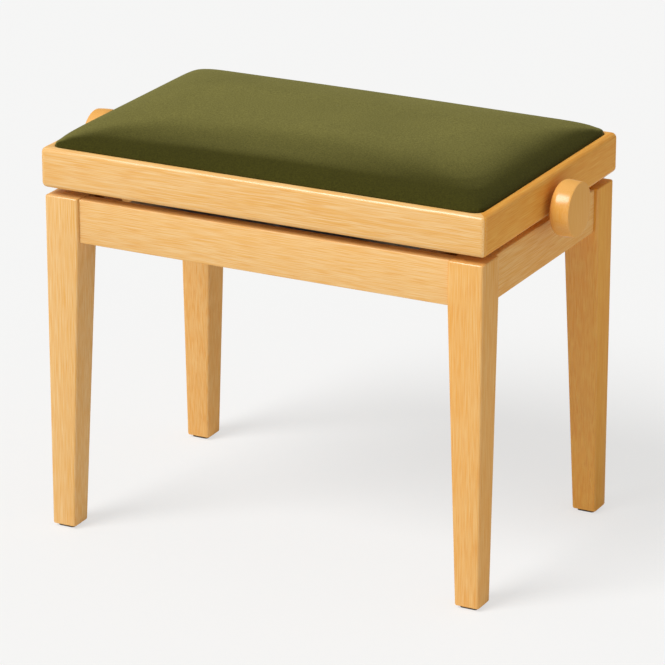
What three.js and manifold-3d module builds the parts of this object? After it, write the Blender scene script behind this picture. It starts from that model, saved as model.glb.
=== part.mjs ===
// A height-adjustable piano bench: a beech base, a seat frame that holds a velvet cushion, and a
// scissor lift between them that one spindle drives, with a wooden knob at each end.
// Millimetres, +Z up, X along the bench, front at -Y. The origin is on the floor under the middle
// of the bench, and the seat is at its lowest.
import * as THREE from 'three';
import { mergeVertices } from 'three/addons/utils/BufferGeometryUtils.js';
import { RoundedBoxGeometry } from 'three/addons/geometries/RoundedBoxGeometry.js';
import Module from 'manifold-3d';

// Clearances: between glued or seated faces, at wooden shoulders, on a turning fit, and a cut's overrun
const fitGap = 0.3;
const shoulderGap = 0.2;
const mitreGap = 0.15;
const overrun = 5;

// Seat frame: mitred rails with a lip around the cushion and a ledge under the seat board
const frameLength = 560;
const frameDepth = 357;
const frameHeight = 48;
const frameGap = 9;
const frameEdgeRadius = 6.5;
const railWidth = 30;
const sideLip = 10.5;
const frontLip = 8;
const rebateCornerRadius = 12;
const boardThickness = 12;
const boardClearance = 0.5;

// Legs: square, with the two inner faces tapered from the apron down, on felt glides. They stand
// inside the seat frame's outline by the two overhangs
const sideOverhang = 3.5;
const frontOverhang = 2.5;
const legHeight = 408;
const legSection = 43;
const footSection = 30;
const legEdgeRadius = 3;
const legTopRadius = 2;
const footChamfer = 2;
const glideThickness = 3;
const glideInset = 2.5;

// Aprons with their tenons, and the braces across the inside corners, flush with the tops of the legs
const apronHeight = 52;
const apronThickness = 20;
const apronTopDrop = 1;
const apronEdgeRadius = 1.5;
const frontApronSetback = 4;
const sideApronSetback = 5;
const tenonThickness = 8;
const tenonLength = 20;
const tenonShoulder = 8;
const braceWidth = 24;
const braceHeight = 52;
const braceLegClearance = 2.5;

// Cushion: straight sides in the frame, a shoulder, an edge that rolls over to a nearly flat top,
// and a slight dome. Its corners open up towards the top. The roll reaches in by a share of half the
// cushion's depth, less far at the two ends, and its power is 2 for a quarter of an ellipse and less for
// a slacker curve. The other shares say where rings lie across the roll and across the top
const cushionShoulder = 1.5;
const cushionBulge = 1;
const cushionRise = 26;
const cushionRollReach = 0.65;
const cushionEndReach = 0.45;
const cushionRollPower = 1.6;
const cushionDome = 3;
const cushionCornerOpening = 0.5;
const cushionRollShares = [0.006, 0.024, 0.054, 0.1, 0.17, 0.27, 0.4, 0.56, 0.76, 1];
const cushionTopShares = [0.75, 0.5, 0.25];

// Scissor lift: how far the seat rises, the drop from the upper pivots to the lower ones, and the arms
const liftHeight = 90;
const pivotDrop = 37;
const spindleAboveFrameBottom = 10;
const armWidth = 24;
const armThickness = 4;
const armGap = 0.5;
const barDiameter = 12;
const sleeveDiameter = 18;
const sleeveLength = 10;
const centrePinDiameter = 8;
const centrePinHeadDiameter = 11;
const centrePinHeadThickness = 2;

// Steel channels that carry the pivots and guide the sliding ends. The lower ones end short of the
// corner braces, and the pivots at rest are set in from their ends
const channelBraceClearance = 2.7;
const pivotToChannelEnd = 26;
const channelThickness = 2.5;
const lowerChannelRoom = 0.8;
const upperChannelWidth = 14.2;
const channelToArm = 2.5;

// Spindle, its cross bars, bushes and thrust collars
const spindleDiameter = 12;
const journalDiameter = 10;
const journalToRail = 6.3;
const barBlockLength = 22;
const barBlockWidth = 28;
const barBlockHeight = 21;
const collarDiameter = 21;
const collarWidth = 8;
const bushDiameter = 14;
const bushFlangeDiameter = 18;
const bushFlangeThickness = 2;

// Knobs: a flat outer face, a slightly barrelled rim and a well rounded back
const knobDiameter = 65;
const knobThickness = 25.5;
const knobGap = 6.5;
const knobTaper = 1.25;
const knobFaceEdge = 1;
const knobBackRadius = 9;
const knobBoreDepth = 17;

// Screws: pan heads in the channels, countersunk heads under the ledge
const screwDiameter = 4;
const screwHeadDiameter = 8;
const screwHeadThickness = 2;
const channelScrewLength = 14;
const channelScrewSpacing = 160;
const boardScrewLength = 30;
const boardScrewSpacing = 220;

// Facets: points around a knob, a bar and a screw, steps along a rounded edge, and parts of the
// cushion's long and short sides
const turnedSegments = 40;
const barSegments = 24;
const screwSegments = 12;
const edgeSegments = 3;
const cushionSideParts = [8, 6];

// Heights and places that follow from the sizes above
const frameBottom = legHeight + frameGap;
const spindleHeight = frameBottom + spindleAboveFrameBottom;
const lowerPivotHeight = spindleHeight - pivotDrop;

const apronTop = legHeight - apronTopDrop;
const apronBottom = apronTop - apronHeight;
const apronMiddle = (apronTop + apronBottom) / 2;
const baseLength = frameLength - 2 * sideOverhang;
const baseDepth = frameDepth - 2 * frontOverhang;
const frontApronFace = baseDepth / 2 - frontApronSetback;
const sideApronFace = baseLength / 2 - sideApronSetback;
const frontApronInner = frontApronFace - apronThickness;
const sideApronInner = sideApronFace - apronThickness;
const legInnerX = baseLength / 2 - legSection;
const legInnerY = baseDepth / 2 - legSection;
const braceReach = (sideApronInner - legInnerX) + (frontApronInner - legInnerY) + braceLegClearance;

const frameInnerX = frameLength / 2 - railWidth;
const frameInnerY = frameDepth / 2 - railWidth;
const lipInnerX = frameLength / 2 - sideLip;
const lipInnerY = frameDepth / 2 - frontLip;
const channelEnd = sideApronInner - fitGap - braceReach - braceWidth - channelBraceClearance;
const channelMouth = frameInnerY - fitGap - upperChannelWidth;

const slidingPivotX = channelEnd - pivotToChannelEnd;
const fixedPivotX = -slidingPivotX;
const armPivotLength = Math.hypot(slidingPivotX - fixedPivotX, pivotDrop);
const restAngle = Math.asin(pivotDrop / armPivotLength);
const raisedAngle = Math.asin((pivotDrop + liftHeight) / armPivotLength);

// The arms' ends follow an arc, and a straight relation between angle and lift leaves them this far off
// at mid travel, so each opened pivot has this much more room
const pivotDrift = armPivotLength * Math.sin((restAngle + raisedAngle) / 2) - (pivotDrop + liftHeight / 2);

const outerArmFace = channelMouth - channelToArm;
const innerArmFace = outerArmFace - armThickness - armGap;
const barHoleRadius = barDiameter / 2 + fitGap;
const sleeveRadius = sleeveDiameter / 2;
const screwHoleRadius = screwDiameter / 2 + fitGap;

// Heights in the seat are measured from the bottom of its frame
const upperChannelBottom = spindleAboveFrameBottom - sleeveRadius - fitGap - channelThickness;
const upperChannelTop = spindleAboveFrameBottom + sleeveRadius + pivotDrift + fitGap + channelThickness;
const ledgeHeight = upperChannelTop + fitGap;
const boardTop = ledgeHeight + boardThickness;

const lowerChannelBottom = lowerPivotHeight - sleeveRadius - pivotDrift - fitGap - channelThickness;
const lowerChannelTop = lowerPivotHeight + sleeveRadius + lowerChannelRoom + fitGap + channelThickness;

// Finishes
const beech = finish(0xe6bd80, 0.45, 0);
const plywood = finish(0xcfa56c, 0.7, 0);
const velvet = finish(0x5f5a2c, 0.95, 0);
const felt = finish(0x3a342c, 0.95, 0);
const nylon = finish(0xe4e0d4, 0.5, 0);
const zincSteel = finish(0xb4b8bc, 0.4, 0.9);
const brightSteel = finish(0xc8cbce, 0.28, 1);

const wasm = await Module();
wasm.setup();

function finish(color, roughness, metalness) {
  return new THREE.MeshStandardMaterial({ color, roughness, metalness });
}

function piece(name, geometry, material) {
  const mesh = new THREE.Mesh(geometry, material);
  mesh.name = name;
  return mesh;
}

function placed(mesh, x, y, z) {
  mesh.position.set(x, y, z);
  return mesh;
}

// Solids: a closed geometry becomes one for cutting and joining, and goes back to a geometry
function solidOf(geometry) {
  const bare = geometry.clone();
  bare.deleteAttribute('normal');
  bare.deleteAttribute('uv');
  const merged = mergeVertices(bare);
  const vertProperties = new Float32Array(merged.attributes.position.array);
  const triVerts = new Uint32Array(merged.index.array);
  return new wasm.Manifold(new wasm.Mesh({ numProp: 3, vertProperties, triVerts }));
}

function geometryOf(solid) {
  const mesh = solid.getMesh();
  const geometry = new THREE.BufferGeometry();
  geometry.setAttribute('position', new THREE.BufferAttribute(new Float32Array(mesh.vertProperties), 3));
  geometry.setIndex(new THREE.BufferAttribute(new Uint32Array(mesh.triVerts), 1));
  geometry.computeVertexNormals();
  return geometry;
}

function cut(geometry, ...tools) {
  return geometryOf(tools.reduce((solid, tool) => solid.subtract(solidOf(tool)), solidOf(geometry)));
}

function join(geometry, ...others) {
  return geometryOf(others.reduce((solid, other) => solid.add(solidOf(other)), solidOf(geometry)));
}

function common(geometry, other) {
  return geometryOf(solidOf(geometry).intersect(solidOf(other)));
}

// Plain forms between two corners, along an axis, and through a stack of rings
function boxBetween(x0, x1, y0, y1, z0, z1) {
  const box = new THREE.BoxGeometry(Math.abs(x1 - x0), Math.abs(y1 - y0), Math.abs(z1 - z0));
  return box.translate((x0 + x1) / 2, (y0 + y1) / 2, (z0 + z1) / 2);
}

function rodAlongY(radius, y0, y1, segments = barSegments) {
  const rod = new THREE.CylinderGeometry(radius, radius, Math.abs(y1 - y0), segments);
  return rod.translate(0, (y0 + y1) / 2, 0);
}

function rodAlongX(radius, x0, x1, segments = barSegments) {
  return rodAlongY(radius, x0, x1, segments).rotateZ(-Math.PI / 2);
}

function rodAlongZ(radius, z0, z1, segments = barSegments) {
  return rodAlongY(radius, z0, z1, segments).rotateX(Math.PI / 2);
}

function stack(rings) {
  const count = rings[0].length;
  const positions = rings.flat().flatMap((point) => [point.x, point.y, point.z]);
  const index = [];
  for (let ring = 0; ring + 1 < rings.length; ring += 1) {
    for (let i = 0; i < count; i += 1) {
      const next = (i + 1) % count;
      const [a, b] = [ring * count + i, ring * count + next];
      index.push(a, b, b + count, a, b + count, a + count);
    }
  }
  const last = (rings.length - 1) * count;
  for (let i = 1; i + 1 < count; i += 1) {
    index.push(0, i + 1, i, last, last + i, last + i + 1);
  }
  const geometry = new THREE.BufferGeometry();
  geometry.setAttribute('position', new THREE.Float32BufferAttribute(positions, 3));
  geometry.setIndex(index);
  return geometry;
}

// A ring round a rectangle with rounded corners, anticlockwise seen from above
function rectangleRing(x0, x1, y0, y1, radius, z, steps = edgeSegments) {
  const [left, right] = [Math.min(x0, x1), Math.max(x0, x1)];
  const [near, far] = [Math.min(y0, y1), Math.max(y0, y1)];
  const centres = [[right, far], [left, far], [left, near], [right, near]];
  return centres.flatMap(([x, y], corner) => {
    const cx = x - Math.sign(x - (left + right) / 2) * radius;
    const cy = y - Math.sign(y - (near + far) / 2) * radius;
    return Array.from({ length: steps + 1 }, (_, step) => {
      const angle = (corner + step / steps) * Math.PI / 2;
      return new THREE.Vector3(cx + radius * Math.cos(angle), cy + radius * Math.sin(angle), z);
    });
  });
}

function roundedPlate(halfX, halfY, radius, z0, z1, steps = edgeSegments) {
  return stack([z0, z1].map((z) => rectangleRing(-halfX, halfX, -halfY, halfY, radius, z, steps)));
}

// A flat outline in X and Z, thickened along Y between y0 and y1
function plateAlongY(shape, y0, y1, curveSegments) {
  const depth = Math.abs(y1 - y0);
  const plate = new THREE.ExtrudeGeometry(shape, { depth, bevelEnabled: false, curveSegments });
  return plate.rotateX(Math.PI / 2).translate(0, Math.max(y0, y1), 0);
}

// Base

function leg(sx, sy) {
  const ring = (inset, section, z, radius) =>
    rectangleRing(-sx * inset, -sx * (section - inset), -sy * inset, -sy * (section - inset), radius, z);
  const rings = [
    ring(footChamfer, footSection, glideThickness, legEdgeRadius - footChamfer / 2),
    ring(0, footSection, glideThickness + footChamfer, legEdgeRadius),
    ring(0, legSection, apronBottom, legEdgeRadius),
    ring(0, legSection, legHeight - legTopRadius, legEdgeRadius),
  ];
  for (let step = 1; step <= edgeSegments; step += 1) {
    const angle = (step / edgeSegments) * Math.PI / 2;
    const inset = legTopRadius * (1 - Math.cos(angle));
    const z = legHeight - legTopRadius * (1 - Math.sin(angle));
    rings.push(ring(inset, legSection, z, legEdgeRadius - inset));
  }
  const halfTenon = tenonThickness / 2 + fitGap;
  const depth = tenonLength + fitGap;
  const low = apronBottom + tenonShoulder - fitGap;
  const high = apronTop - tenonShoulder + fitGap;
  const frontY = -sy * (frontApronSetback + apronThickness / 2);
  const sideX = -sx * (sideApronSetback + apronThickness / 2);
  const mouth = legSection + overrun;
  const bottom = legSection - depth;
  const frontMortise = boxBetween(
    -sx * mouth, -sx * bottom, frontY - halfTenon, frontY + halfTenon, low, high);
  const sideMortise = boxBetween(
    sideX - halfTenon, sideX + halfTenon, -sy * mouth, -sy * bottom, low, high);
  return cut(stack(rings), frontMortise, sideMortise);
}

function glide(sx, sy) {
  const near = footChamfer + glideInset;
  const far = footSection - near;
  return stack([0, glideThickness].map((z) =>
    rectangleRing(-sx * near, -sx * far, -sy * near, -sy * far, legEdgeRadius, z)));
}

// An apron lies along X about its own middle, with a tenon at each end
function apron(span) {
  const half = span / 2 - shoulderGap;
  const reach = span / 2 + tenonLength;
  const section = rectangleRing(
    -apronThickness / 2, apronThickness / 2, -apronHeight / 2, apronHeight / 2, apronEdgeRadius, -half);
  const ends = [section, section.map((point) => new THREE.Vector3(point.x, point.y, half))];
  const board = stack(ends).rotateX(Math.PI / 2).rotateZ(Math.PI / 2);
  const halfThickness = tenonThickness / 2;
  const halfHeight = apronHeight / 2 - tenonShoulder;
  const tenon = boxBetween(-reach, reach, -halfThickness, halfThickness, -halfHeight, halfHeight);
  return join(board, tenon);
}

function channelScrewPlaces() {
  return [['left', -channelScrewSpacing / 2], ['right', channelScrewSpacing / 2]];
}

function longApron(sy) {
  const holes = channelScrewPlaces().map(([, x]) => {
    const bottom = frontApronInner + channelScrewLength - channelThickness + fitGap;
    const hole = rodAlongY(screwHoleRadius, 0, sy * (bottom - (frontApronInner - overrun)), screwSegments);
    const start = -sy * (apronThickness / 2 + overrun);
    return hole.translate(x, start, lowerPivotHeight - apronMiddle);
  });
  return cut(apron(2 * legInnerX), ...holes);
}

function brace(sx, sy) {
  const [x, y] = [sideApronInner - fitGap, frontApronInner - fitGap];
  const outline = new THREE.Shape([
    new THREE.Vector2(sx * (x - braceReach), sy * y),
    new THREE.Vector2(sx * x, sy * (y - braceReach)),
    new THREE.Vector2(sx * x, sy * (y - braceReach - braceWidth)),
    new THREE.Vector2(sx * (x - braceReach - braceWidth), sy * y),
  ]);
  return new THREE.ExtrudeGeometry(outline, { depth: braceHeight, bevelEnabled: false });
}

// A channel lies along X with its mouth towards the middle of the bench, its web at the outside
function channel(sy, webFace, bottom, top) {
  const outside = boxBetween(-channelEnd, channelEnd, sy * channelMouth, sy * webFace, bottom, top);
  const hollow = boxBetween(
    -channelEnd - overrun, channelEnd + overrun,
    sy * (channelMouth - overrun), sy * (webFace - channelThickness),
    bottom + channelThickness, top - channelThickness);
  return cut(outside, hollow);
}

function pivotHole(sy, webFace, height) {
  const inside = webFace - channelThickness - overrun;
  const hole = rodAlongY(barHoleRadius, sy * inside, sy * (webFace + overrun));
  return hole.translate(fixedPivotX, 0, height);
}

function lowerChannel(sy) {
  const webFace = frontApronInner - fitGap;
  const screwHoles = channelScrewPlaces().map(([, x]) => {
    const inside = webFace - channelThickness - overrun;
    return rodAlongY(screwHoleRadius, sy * inside, sy * (webFace + overrun), screwSegments)
      .translate(x, 0, lowerPivotHeight);
  });
  const blank = channel(sy, webFace, lowerChannelBottom, lowerChannelTop);
  return cut(blank, pivotHole(sy, webFace, lowerPivotHeight), ...screwHoles);
}

// A pan-head screw points along +Z, with the underside of its head at the origin
function panScrew() {
  const [shank, head] = [screwDiameter / 2, screwHeadDiameter / 2];
  const profile = [
    new THREE.Vector2(0, -screwHeadThickness),
    new THREE.Vector2(head - screwHeadThickness / 2, -screwHeadThickness),
    new THREE.Vector2(head, -screwHeadThickness / 2),
    new THREE.Vector2(head, 0),
    new THREE.Vector2(shank, 0),
    new THREE.Vector2(shank, channelScrewLength - shank),
    new THREE.Vector2(0, channelScrewLength),
  ];
  return new THREE.LatheGeometry(profile, screwSegments).rotateX(Math.PI / 2);
}

function addBase(bench) {
  const base = new THREE.Group();
  for (const [depthName, sy] of [['front', -1], ['back', 1]]) {
    for (const [sideName, sx] of [['left', -1], ['right', 1]]) {
      const place = `${depthName}_${sideName}`;
      const [x, y] = [sx * baseLength / 2, sy * baseDepth / 2];
      base.add(placed(piece(`leg_${place}`, leg(sx, sy), beech), x, y, 0));
      base.add(placed(piece(`foot_glide_${place}`, glide(sx, sy), felt), x, y, 0));
      const height = legHeight - braceHeight;
      base.add(placed(piece(`corner_brace_${place}`, brace(sx, sy), beech), 0, 0, height));
    }
    const y = sy * (frontApronFace - apronThickness / 2);
    base.add(placed(piece(`apron_${depthName}`, longApron(sy), beech), 0, y, apronMiddle));
    base.add(piece(`lower_channel_${depthName}`, lowerChannel(sy), zincSteel));
    for (const [sideName, screwX] of channelScrewPlaces()) {
      const screw = piece(`lower_channel_screw_${depthName}_${sideName}`, panScrew(), brightSteel);
      const face = sy * (frontApronInner - fitGap - channelThickness - fitGap);
      screw.rotation.x = -sy * Math.PI / 2;
      base.add(placed(screw, screwX, face, lowerPivotHeight));
    }
  }
  for (const [sideName, sx] of [['left', -1], ['right', 1]]) {
    const side = piece(`apron_${sideName}`, apron(2 * legInnerY), beech);
    side.rotation.z = Math.PI / 2;
    base.add(placed(side, sx * (sideApronFace - apronThickness / 2), 0, apronMiddle));
  }
  const rodEnd = frontApronInner - fitGap;
  const rod = rodAlongY(barDiameter / 2, -rodEnd, rodEnd);
  base.add(placed(piece('lower_pivot_rod', rod, brightSteel), fixedPivotX, 0, lowerPivotHeight));
  bench.add(base);
}

// Seat

function frameRail(mitreOutline) {
  const outside = new RoundedBoxGeometry(
    frameLength, frameDepth, frameHeight, edgeSegments, frameEdgeRadius).translate(0, 0, frameHeight / 2);
  const wedge = new THREE.ExtrudeGeometry(new THREE.Shape(mitreOutline), {
    depth: frameHeight + 2 * overrun,
    bevelEnabled: false,
  }).translate(0, 0, -overrun);
  const opening = boxBetween(
    -frameInnerX, frameInnerX, -frameInnerY, frameInnerY, -overrun, frameHeight + overrun);
  const rebate = roundedPlate(
    lipInnerX, lipInnerY, rebateCornerRadius, ledgeHeight, frameHeight + overrun, 2 * edgeSegments);
  return cut(common(outside, wedge), opening, rebate);
}

// The mitre runs from the frame's outer corner to its inner corner, with half the gap on each side
function longRail(sy) {
  const shift = mitreGap / Math.SQRT2;
  const [outX, outY] = [frameLength / 2 + overrun, frameDepth / 2 + overrun];
  const [inX, inY] = [frameInnerX - overrun, frameInnerY - overrun];
  return frameRail([
    new THREE.Vector2(-outX + shift, sy * outY),
    new THREE.Vector2(outX - shift, sy * outY),
    new THREE.Vector2(inX - shift, sy * inY),
    new THREE.Vector2(-inX + shift, sy * inY),
  ]);
}

function sideRail(sx) {
  const shift = mitreGap / Math.SQRT2;
  const [outX, outY] = [frameLength / 2 + overrun, frameDepth / 2 + overrun];
  const [inX, inY] = [frameInnerX - overrun, frameInnerY - overrun];
  const rail = frameRail([
    new THREE.Vector2(sx * outX, -outY + shift),
    new THREE.Vector2(sx * outX, outY - shift),
    new THREE.Vector2(sx * inX, inY - shift),
    new THREE.Vector2(sx * inX, -inY + shift),
  ]);
  const bore = rodAlongX(
    bushDiameter / 2 + fitGap, sx * (frameInnerX - overrun), sx * (frameLength / 2 + overrun));
  const screwHoles = [-1, 1].map((sy) => {
    const head = screwHeadDiameter / 2 + fitGap;
    const hole = boardScrew(screwHoleRadius, head, boardScrewLength + fitGap, overrun);
    return hole.translate(sx * boardScrewX(), sy * boardScrewSpacing / 2, 0);
  });
  return cut(rail, bore.translate(0, 0, spindleAboveFrameBottom), ...screwHoles);
}

function boardScrewX() {
  return (frameInnerX + lipInnerX) / 2;
}

// A countersunk screw stands head down, with its head flush with the frame's lower face. Its hole goes
// on below that face, as wide as the head's cone gets there
function boardScrew(shank, head, length, below) {
  const profile = [
    new THREE.Vector2(0, -below),
    new THREE.Vector2(head + below, -below),
    new THREE.Vector2(shank, head - shank),
    new THREE.Vector2(shank, length - shank),
    new THREE.Vector2(0, length),
  ];
  return new THREE.LatheGeometry(profile, screwSegments).rotateX(Math.PI / 2);
}

function seatBoard() {
  const plate = roundedPlate(
    lipInnerX - boardClearance, lipInnerY - boardClearance, rebateCornerRadius,
    ledgeHeight + fitGap, boardTop, 2 * edgeSegments);
  const reach = boardScrewLength + fitGap;
  const holes = [-1, 1].flatMap((sx) => [-1, 1].map((sy) =>
    rodAlongZ(screwHoleRadius, 0, reach, screwSegments)
      .translate(sx * boardScrewX(), sy * boardScrewSpacing / 2, 0)));
  const channelHoles = [-1, 1].flatMap((sy) => channelScrewPlaces().map(([, x]) =>
    rodAlongZ(screwHoleRadius, 0, upperScrewBase() + channelScrewLength + fitGap, screwSegments)
      .translate(x, sy * upperScrewY(), 0)));
  return cut(plate, ...holes, ...channelHoles);
}

function upperWebFace() {
  return frameInnerY - fitGap;
}

function upperScrewY() {
  return (channelMouth + upperWebFace() - channelThickness) / 2;
}

function upperScrewBase() {
  return upperChannelTop - channelThickness - fitGap;
}

function upperChannel(sy) {
  const screwHoles = channelScrewPlaces().map(([, x]) =>
    rodAlongZ(screwHoleRadius, upperChannelTop - channelThickness - overrun, upperChannelTop + overrun,
      screwSegments).translate(x, sy * upperScrewY(), 0));
  const blank = channel(sy, upperWebFace(), upperChannelBottom, upperChannelTop);
  return cut(blank, pivotHole(sy, upperWebFace(), spindleAboveFrameBottom), ...screwHoles);
}

// A rounded rectangle inside the rebate's, or outside it where the inset is negative, with its
// straight sides divided, so that the dome curves along them
function cushionRing(insetX, insetY, z) {
  const halfX = lipInnerX - boardClearance - insetX;
  const halfY = lipInnerY - boardClearance - insetY;
  const radius = rebateCornerRadius + Math.max((insetX + insetY) / 2, 0) * cushionCornerOpening;
  const corners = rectangleRing(-halfX, halfX, -halfY, halfY, radius, z);
  return corners.flatMap((point, i) => {
    const next = corners[(i + 1) % corners.length];
    const straight = i % (edgeSegments + 1) === edgeSegments;
    const alongX = Math.abs(next.y - point.y) < Math.abs(next.x - point.x);
    const parts = straight ? cushionSideParts[alongX ? 0 : 1] : 1;
    return Array.from({ length: parts }, (_, step) => point.clone().lerp(next, step / parts));
  });
}

function cushion() {
  const bottom = boardTop + fitGap;
  const shoulder = frameHeight + cushionShoulder;
  const rings = [
    cushionRing(0, 0, bottom),
    cushionRing(0, 0, frameHeight),
    cushionRing(-cushionBulge, -cushionBulge, shoulder),
  ];
  const rollDepth = cushionRollReach * (lipInnerY - boardClearance);
  const endDepth = cushionEndReach * (lipInnerY - boardClearance);
  for (const share of cushionRollShares) {
    const curve = (1 - (1 - share) ** cushionRollPower) ** (1 / cushionRollPower);
    const height = shoulder + cushionRise * curve + cushionDome / 2 * share ** 2;
    rings.push(cushionRing(endDepth * share - cushionBulge, rollDepth * share - cushionBulge, height));
  }
  const level = rings.at(-1);
  for (const share of cushionTopShares) {
    const height = shoulder + cushionRise + cushionDome * (1 - share ** 2 / 2);
    rings.push(level.map(({ x, y }) => new THREE.Vector3(x * share, y * share, height)));
  }
  return stack(rings);
}

// A bar across the lift with a block in its middle that the spindle goes through
function crossBar(end, boreRadius) {
  const bar = rodAlongY(barDiameter / 2, -end, end);
  const block = boxBetween(
    -barBlockLength / 2, barBlockLength / 2, -barBlockWidth / 2, barBlockWidth / 2,
    -barBlockHeight / 2, barBlockHeight / 2);
  const bore = rodAlongX(boreRadius, -barBlockLength / 2 - overrun, barBlockLength / 2 + overrun);
  return cut(join(bar, block), bore);
}

function ringAlongX(inner, outer, width) {
  const profile = [
    new THREE.Vector2(inner, 0),
    new THREE.Vector2(outer, 0),
    new THREE.Vector2(outer, width),
    new THREE.Vector2(inner, width),
    new THREE.Vector2(inner, 0),
  ];
  return new THREE.LatheGeometry(profile, barSegments).rotateZ(-Math.PI / 2);
}

// The bush starts at the rail's inner face and ends with a flange on its outer face, along +X
function spindleBush() {
  const inner = journalDiameter / 2 + fitGap;
  const outer = bushDiameter / 2;
  const face = railWidth + fitGap;
  const end = face + bushFlangeThickness;
  const profile = [
    new THREE.Vector2(inner, 0),
    new THREE.Vector2(outer, 0),
    new THREE.Vector2(outer, face),
    new THREE.Vector2(bushFlangeDiameter / 2, face),
    new THREE.Vector2(bushFlangeDiameter / 2, end),
    new THREE.Vector2(inner, end),
    new THREE.Vector2(inner, 0),
  ];
  return new THREE.LatheGeometry(profile, barSegments).rotateZ(-Math.PI / 2);
}

function addSeat(bench) {
  const seat = new THREE.Group();
  for (const [depthName, sy] of [['front', -1], ['back', 1]]) {
    seat.add(piece(`seat_rail_${depthName}`, longRail(sy), beech));
    seat.add(piece(`upper_channel_${depthName}`, upperChannel(sy), zincSteel));
    for (const [sideName, x] of channelScrewPlaces()) {
      const screw = piece(`upper_channel_screw_${depthName}_${sideName}`, panScrew(), brightSteel);
      seat.add(placed(screw, x, sy * upperScrewY(), upperScrewBase()));
    }
  }
  for (const [sideName, sx] of [['left', -1], ['right', 1]]) {
    seat.add(piece(`seat_rail_${sideName}`, sideRail(sx), beech));
    for (const [depthName, sy] of [['front', -1], ['back', 1]]) {
      const shape = boardScrew(screwDiameter / 2, screwHeadDiameter / 2, boardScrewLength, 0);
      const screw = piece(`board_screw_${depthName}_${sideName}`, shape, brightSteel);
      seat.add(placed(screw, sx * boardScrewX(), sy * boardScrewSpacing / 2, 0));
    }
    const bush = piece(`spindle_bush_${sideName}`, spindleBush(), nylon);
    bush.rotation.z = sx > 0 ? 0 : Math.PI;
    seat.add(placed(bush, sx * frameInnerX, 0, spindleAboveFrameBottom));
  }
  seat.add(piece('seat_board', seatBoard(), plywood));
  seat.add(piece('cushion', cushion(), velvet));
  const pivotBar = crossBar(frameInnerY - fitGap, spindleDiameter / 2 + fitGap);
  seat.add(placed(piece('upper_pivot_bar', pivotBar, zincSteel), fixedPivotX, 0, spindleAboveFrameBottom));
  bench.add(placed(seat, 0, 0, frameBottom));
}

// Spindle and knobs

// The spindle is turned down at both ends to journals that run in the bushes and hold the knobs
function spindleRod() {
  const end = frameLength / 2 + knobGap + knobBoreDepth - fitGap;
  const step = frameInnerX - journalToRail;
  const [thick, thin] = [spindleDiameter / 2, journalDiameter / 2];
  const profile = [
    new THREE.Vector2(0, -end),
    new THREE.Vector2(thin, -end),
    new THREE.Vector2(thin, -step),
    new THREE.Vector2(thick, -step),
    new THREE.Vector2(thick, step),
    new THREE.Vector2(thin, step),
    new THREE.Vector2(thin, end),
    new THREE.Vector2(0, end),
  ];
  return new THREE.LatheGeometry(profile, barSegments).rotateZ(-Math.PI / 2);
}

// The knob stands with its back at the origin and its face towards +X
function knob() {
  const widest = knobDiameter / 2;
  const face = widest - knobTaper;
  const bore = journalDiameter / 2 + fitGap;
  const rim = knobThickness - knobFaceEdge;
  const profile = [new THREE.Vector2(bore, knobBoreDepth), new THREE.Vector2(bore, 0)];
  const backSteps = 2 * edgeSegments;
  for (let step = 0; step <= backSteps; step += 1) {
    const angle = (step / backSteps) * Math.PI / 2;
    const r = widest - knobBackRadius * (1 - Math.sin(angle));
    profile.push(new THREE.Vector2(r, knobBackRadius * (1 - Math.cos(angle))));
  }
  for (let step = 1; step <= edgeSegments; step += 1) {
    const share = step / edgeSegments;
    const r = widest - (widest - face) * share ** 2;
    profile.push(new THREE.Vector2(r, knobBackRadius + (rim - knobBackRadius) * share));
  }
  profile.push(new THREE.Vector2(face - knobFaceEdge, knobThickness));
  profile.push(new THREE.Vector2(0, knobThickness));
  profile.unshift(new THREE.Vector2(0, knobBoreDepth));
  return new THREE.LatheGeometry(profile, turnedSegments).rotateZ(-Math.PI / 2);
}

function addSpindle(bench) {
  const spindle = new THREE.Group();
  spindle.add(piece('spindle_rod', spindleRod(), brightSteel));
  for (const [sideName, sx] of [['left', -1], ['right', 1]]) {
    const turn = piece(`knob_${sideName}`, knob(), beech);
    turn.rotation.z = sx > 0 ? 0 : Math.PI;
    spindle.add(placed(turn, sx * (frameLength / 2 + knobGap), 0, 0));
    const inner = spindleDiameter / 2 + fitGap;
    const collar = piece(`thrust_collar_${sideName}`, ringAlongX(inner, collarDiameter / 2, collarWidth),
      brightSteel);
    const start = fixedPivotX + sx * (barBlockLength / 2 + fitGap) - (sx < 0 ? collarWidth : 0);
    spindle.add(placed(collar, start, 0, 0));
  }
  bench.add(placed(spindle, 0, 0, spindleHeight));
}

// Lift

function sleeve() {
  const [inner, outer] = [barDiameter / 2 + fitGap, sleeveRadius];
  return ringAlongX(inner, outer, sleeveLength).rotateZ(Math.PI / 2);
}

// A flat arm lies along +X from its first pivot at the origin, thickened along Y
function arm(centreRadius, y0, y1) {
  const half = armWidth / 2;
  const outline = new THREE.Shape();
  outline.absarc(armPivotLength, 0, half, -Math.PI / 2, Math.PI / 2, false);
  outline.absarc(0, 0, half, Math.PI / 2, 3 * Math.PI / 2, false);
  const holes = [[0, barHoleRadius], [armPivotLength / 2, centreRadius], [armPivotLength, barHoleRadius]];
  for (const [x, radius] of holes) {
    outline.holes.push(new THREE.Path().absarc(x, 0, radius, 0, 2 * Math.PI, true));
  }
  return plateAlongY(outline, y0, y1, barSegments / 3);
}

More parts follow.
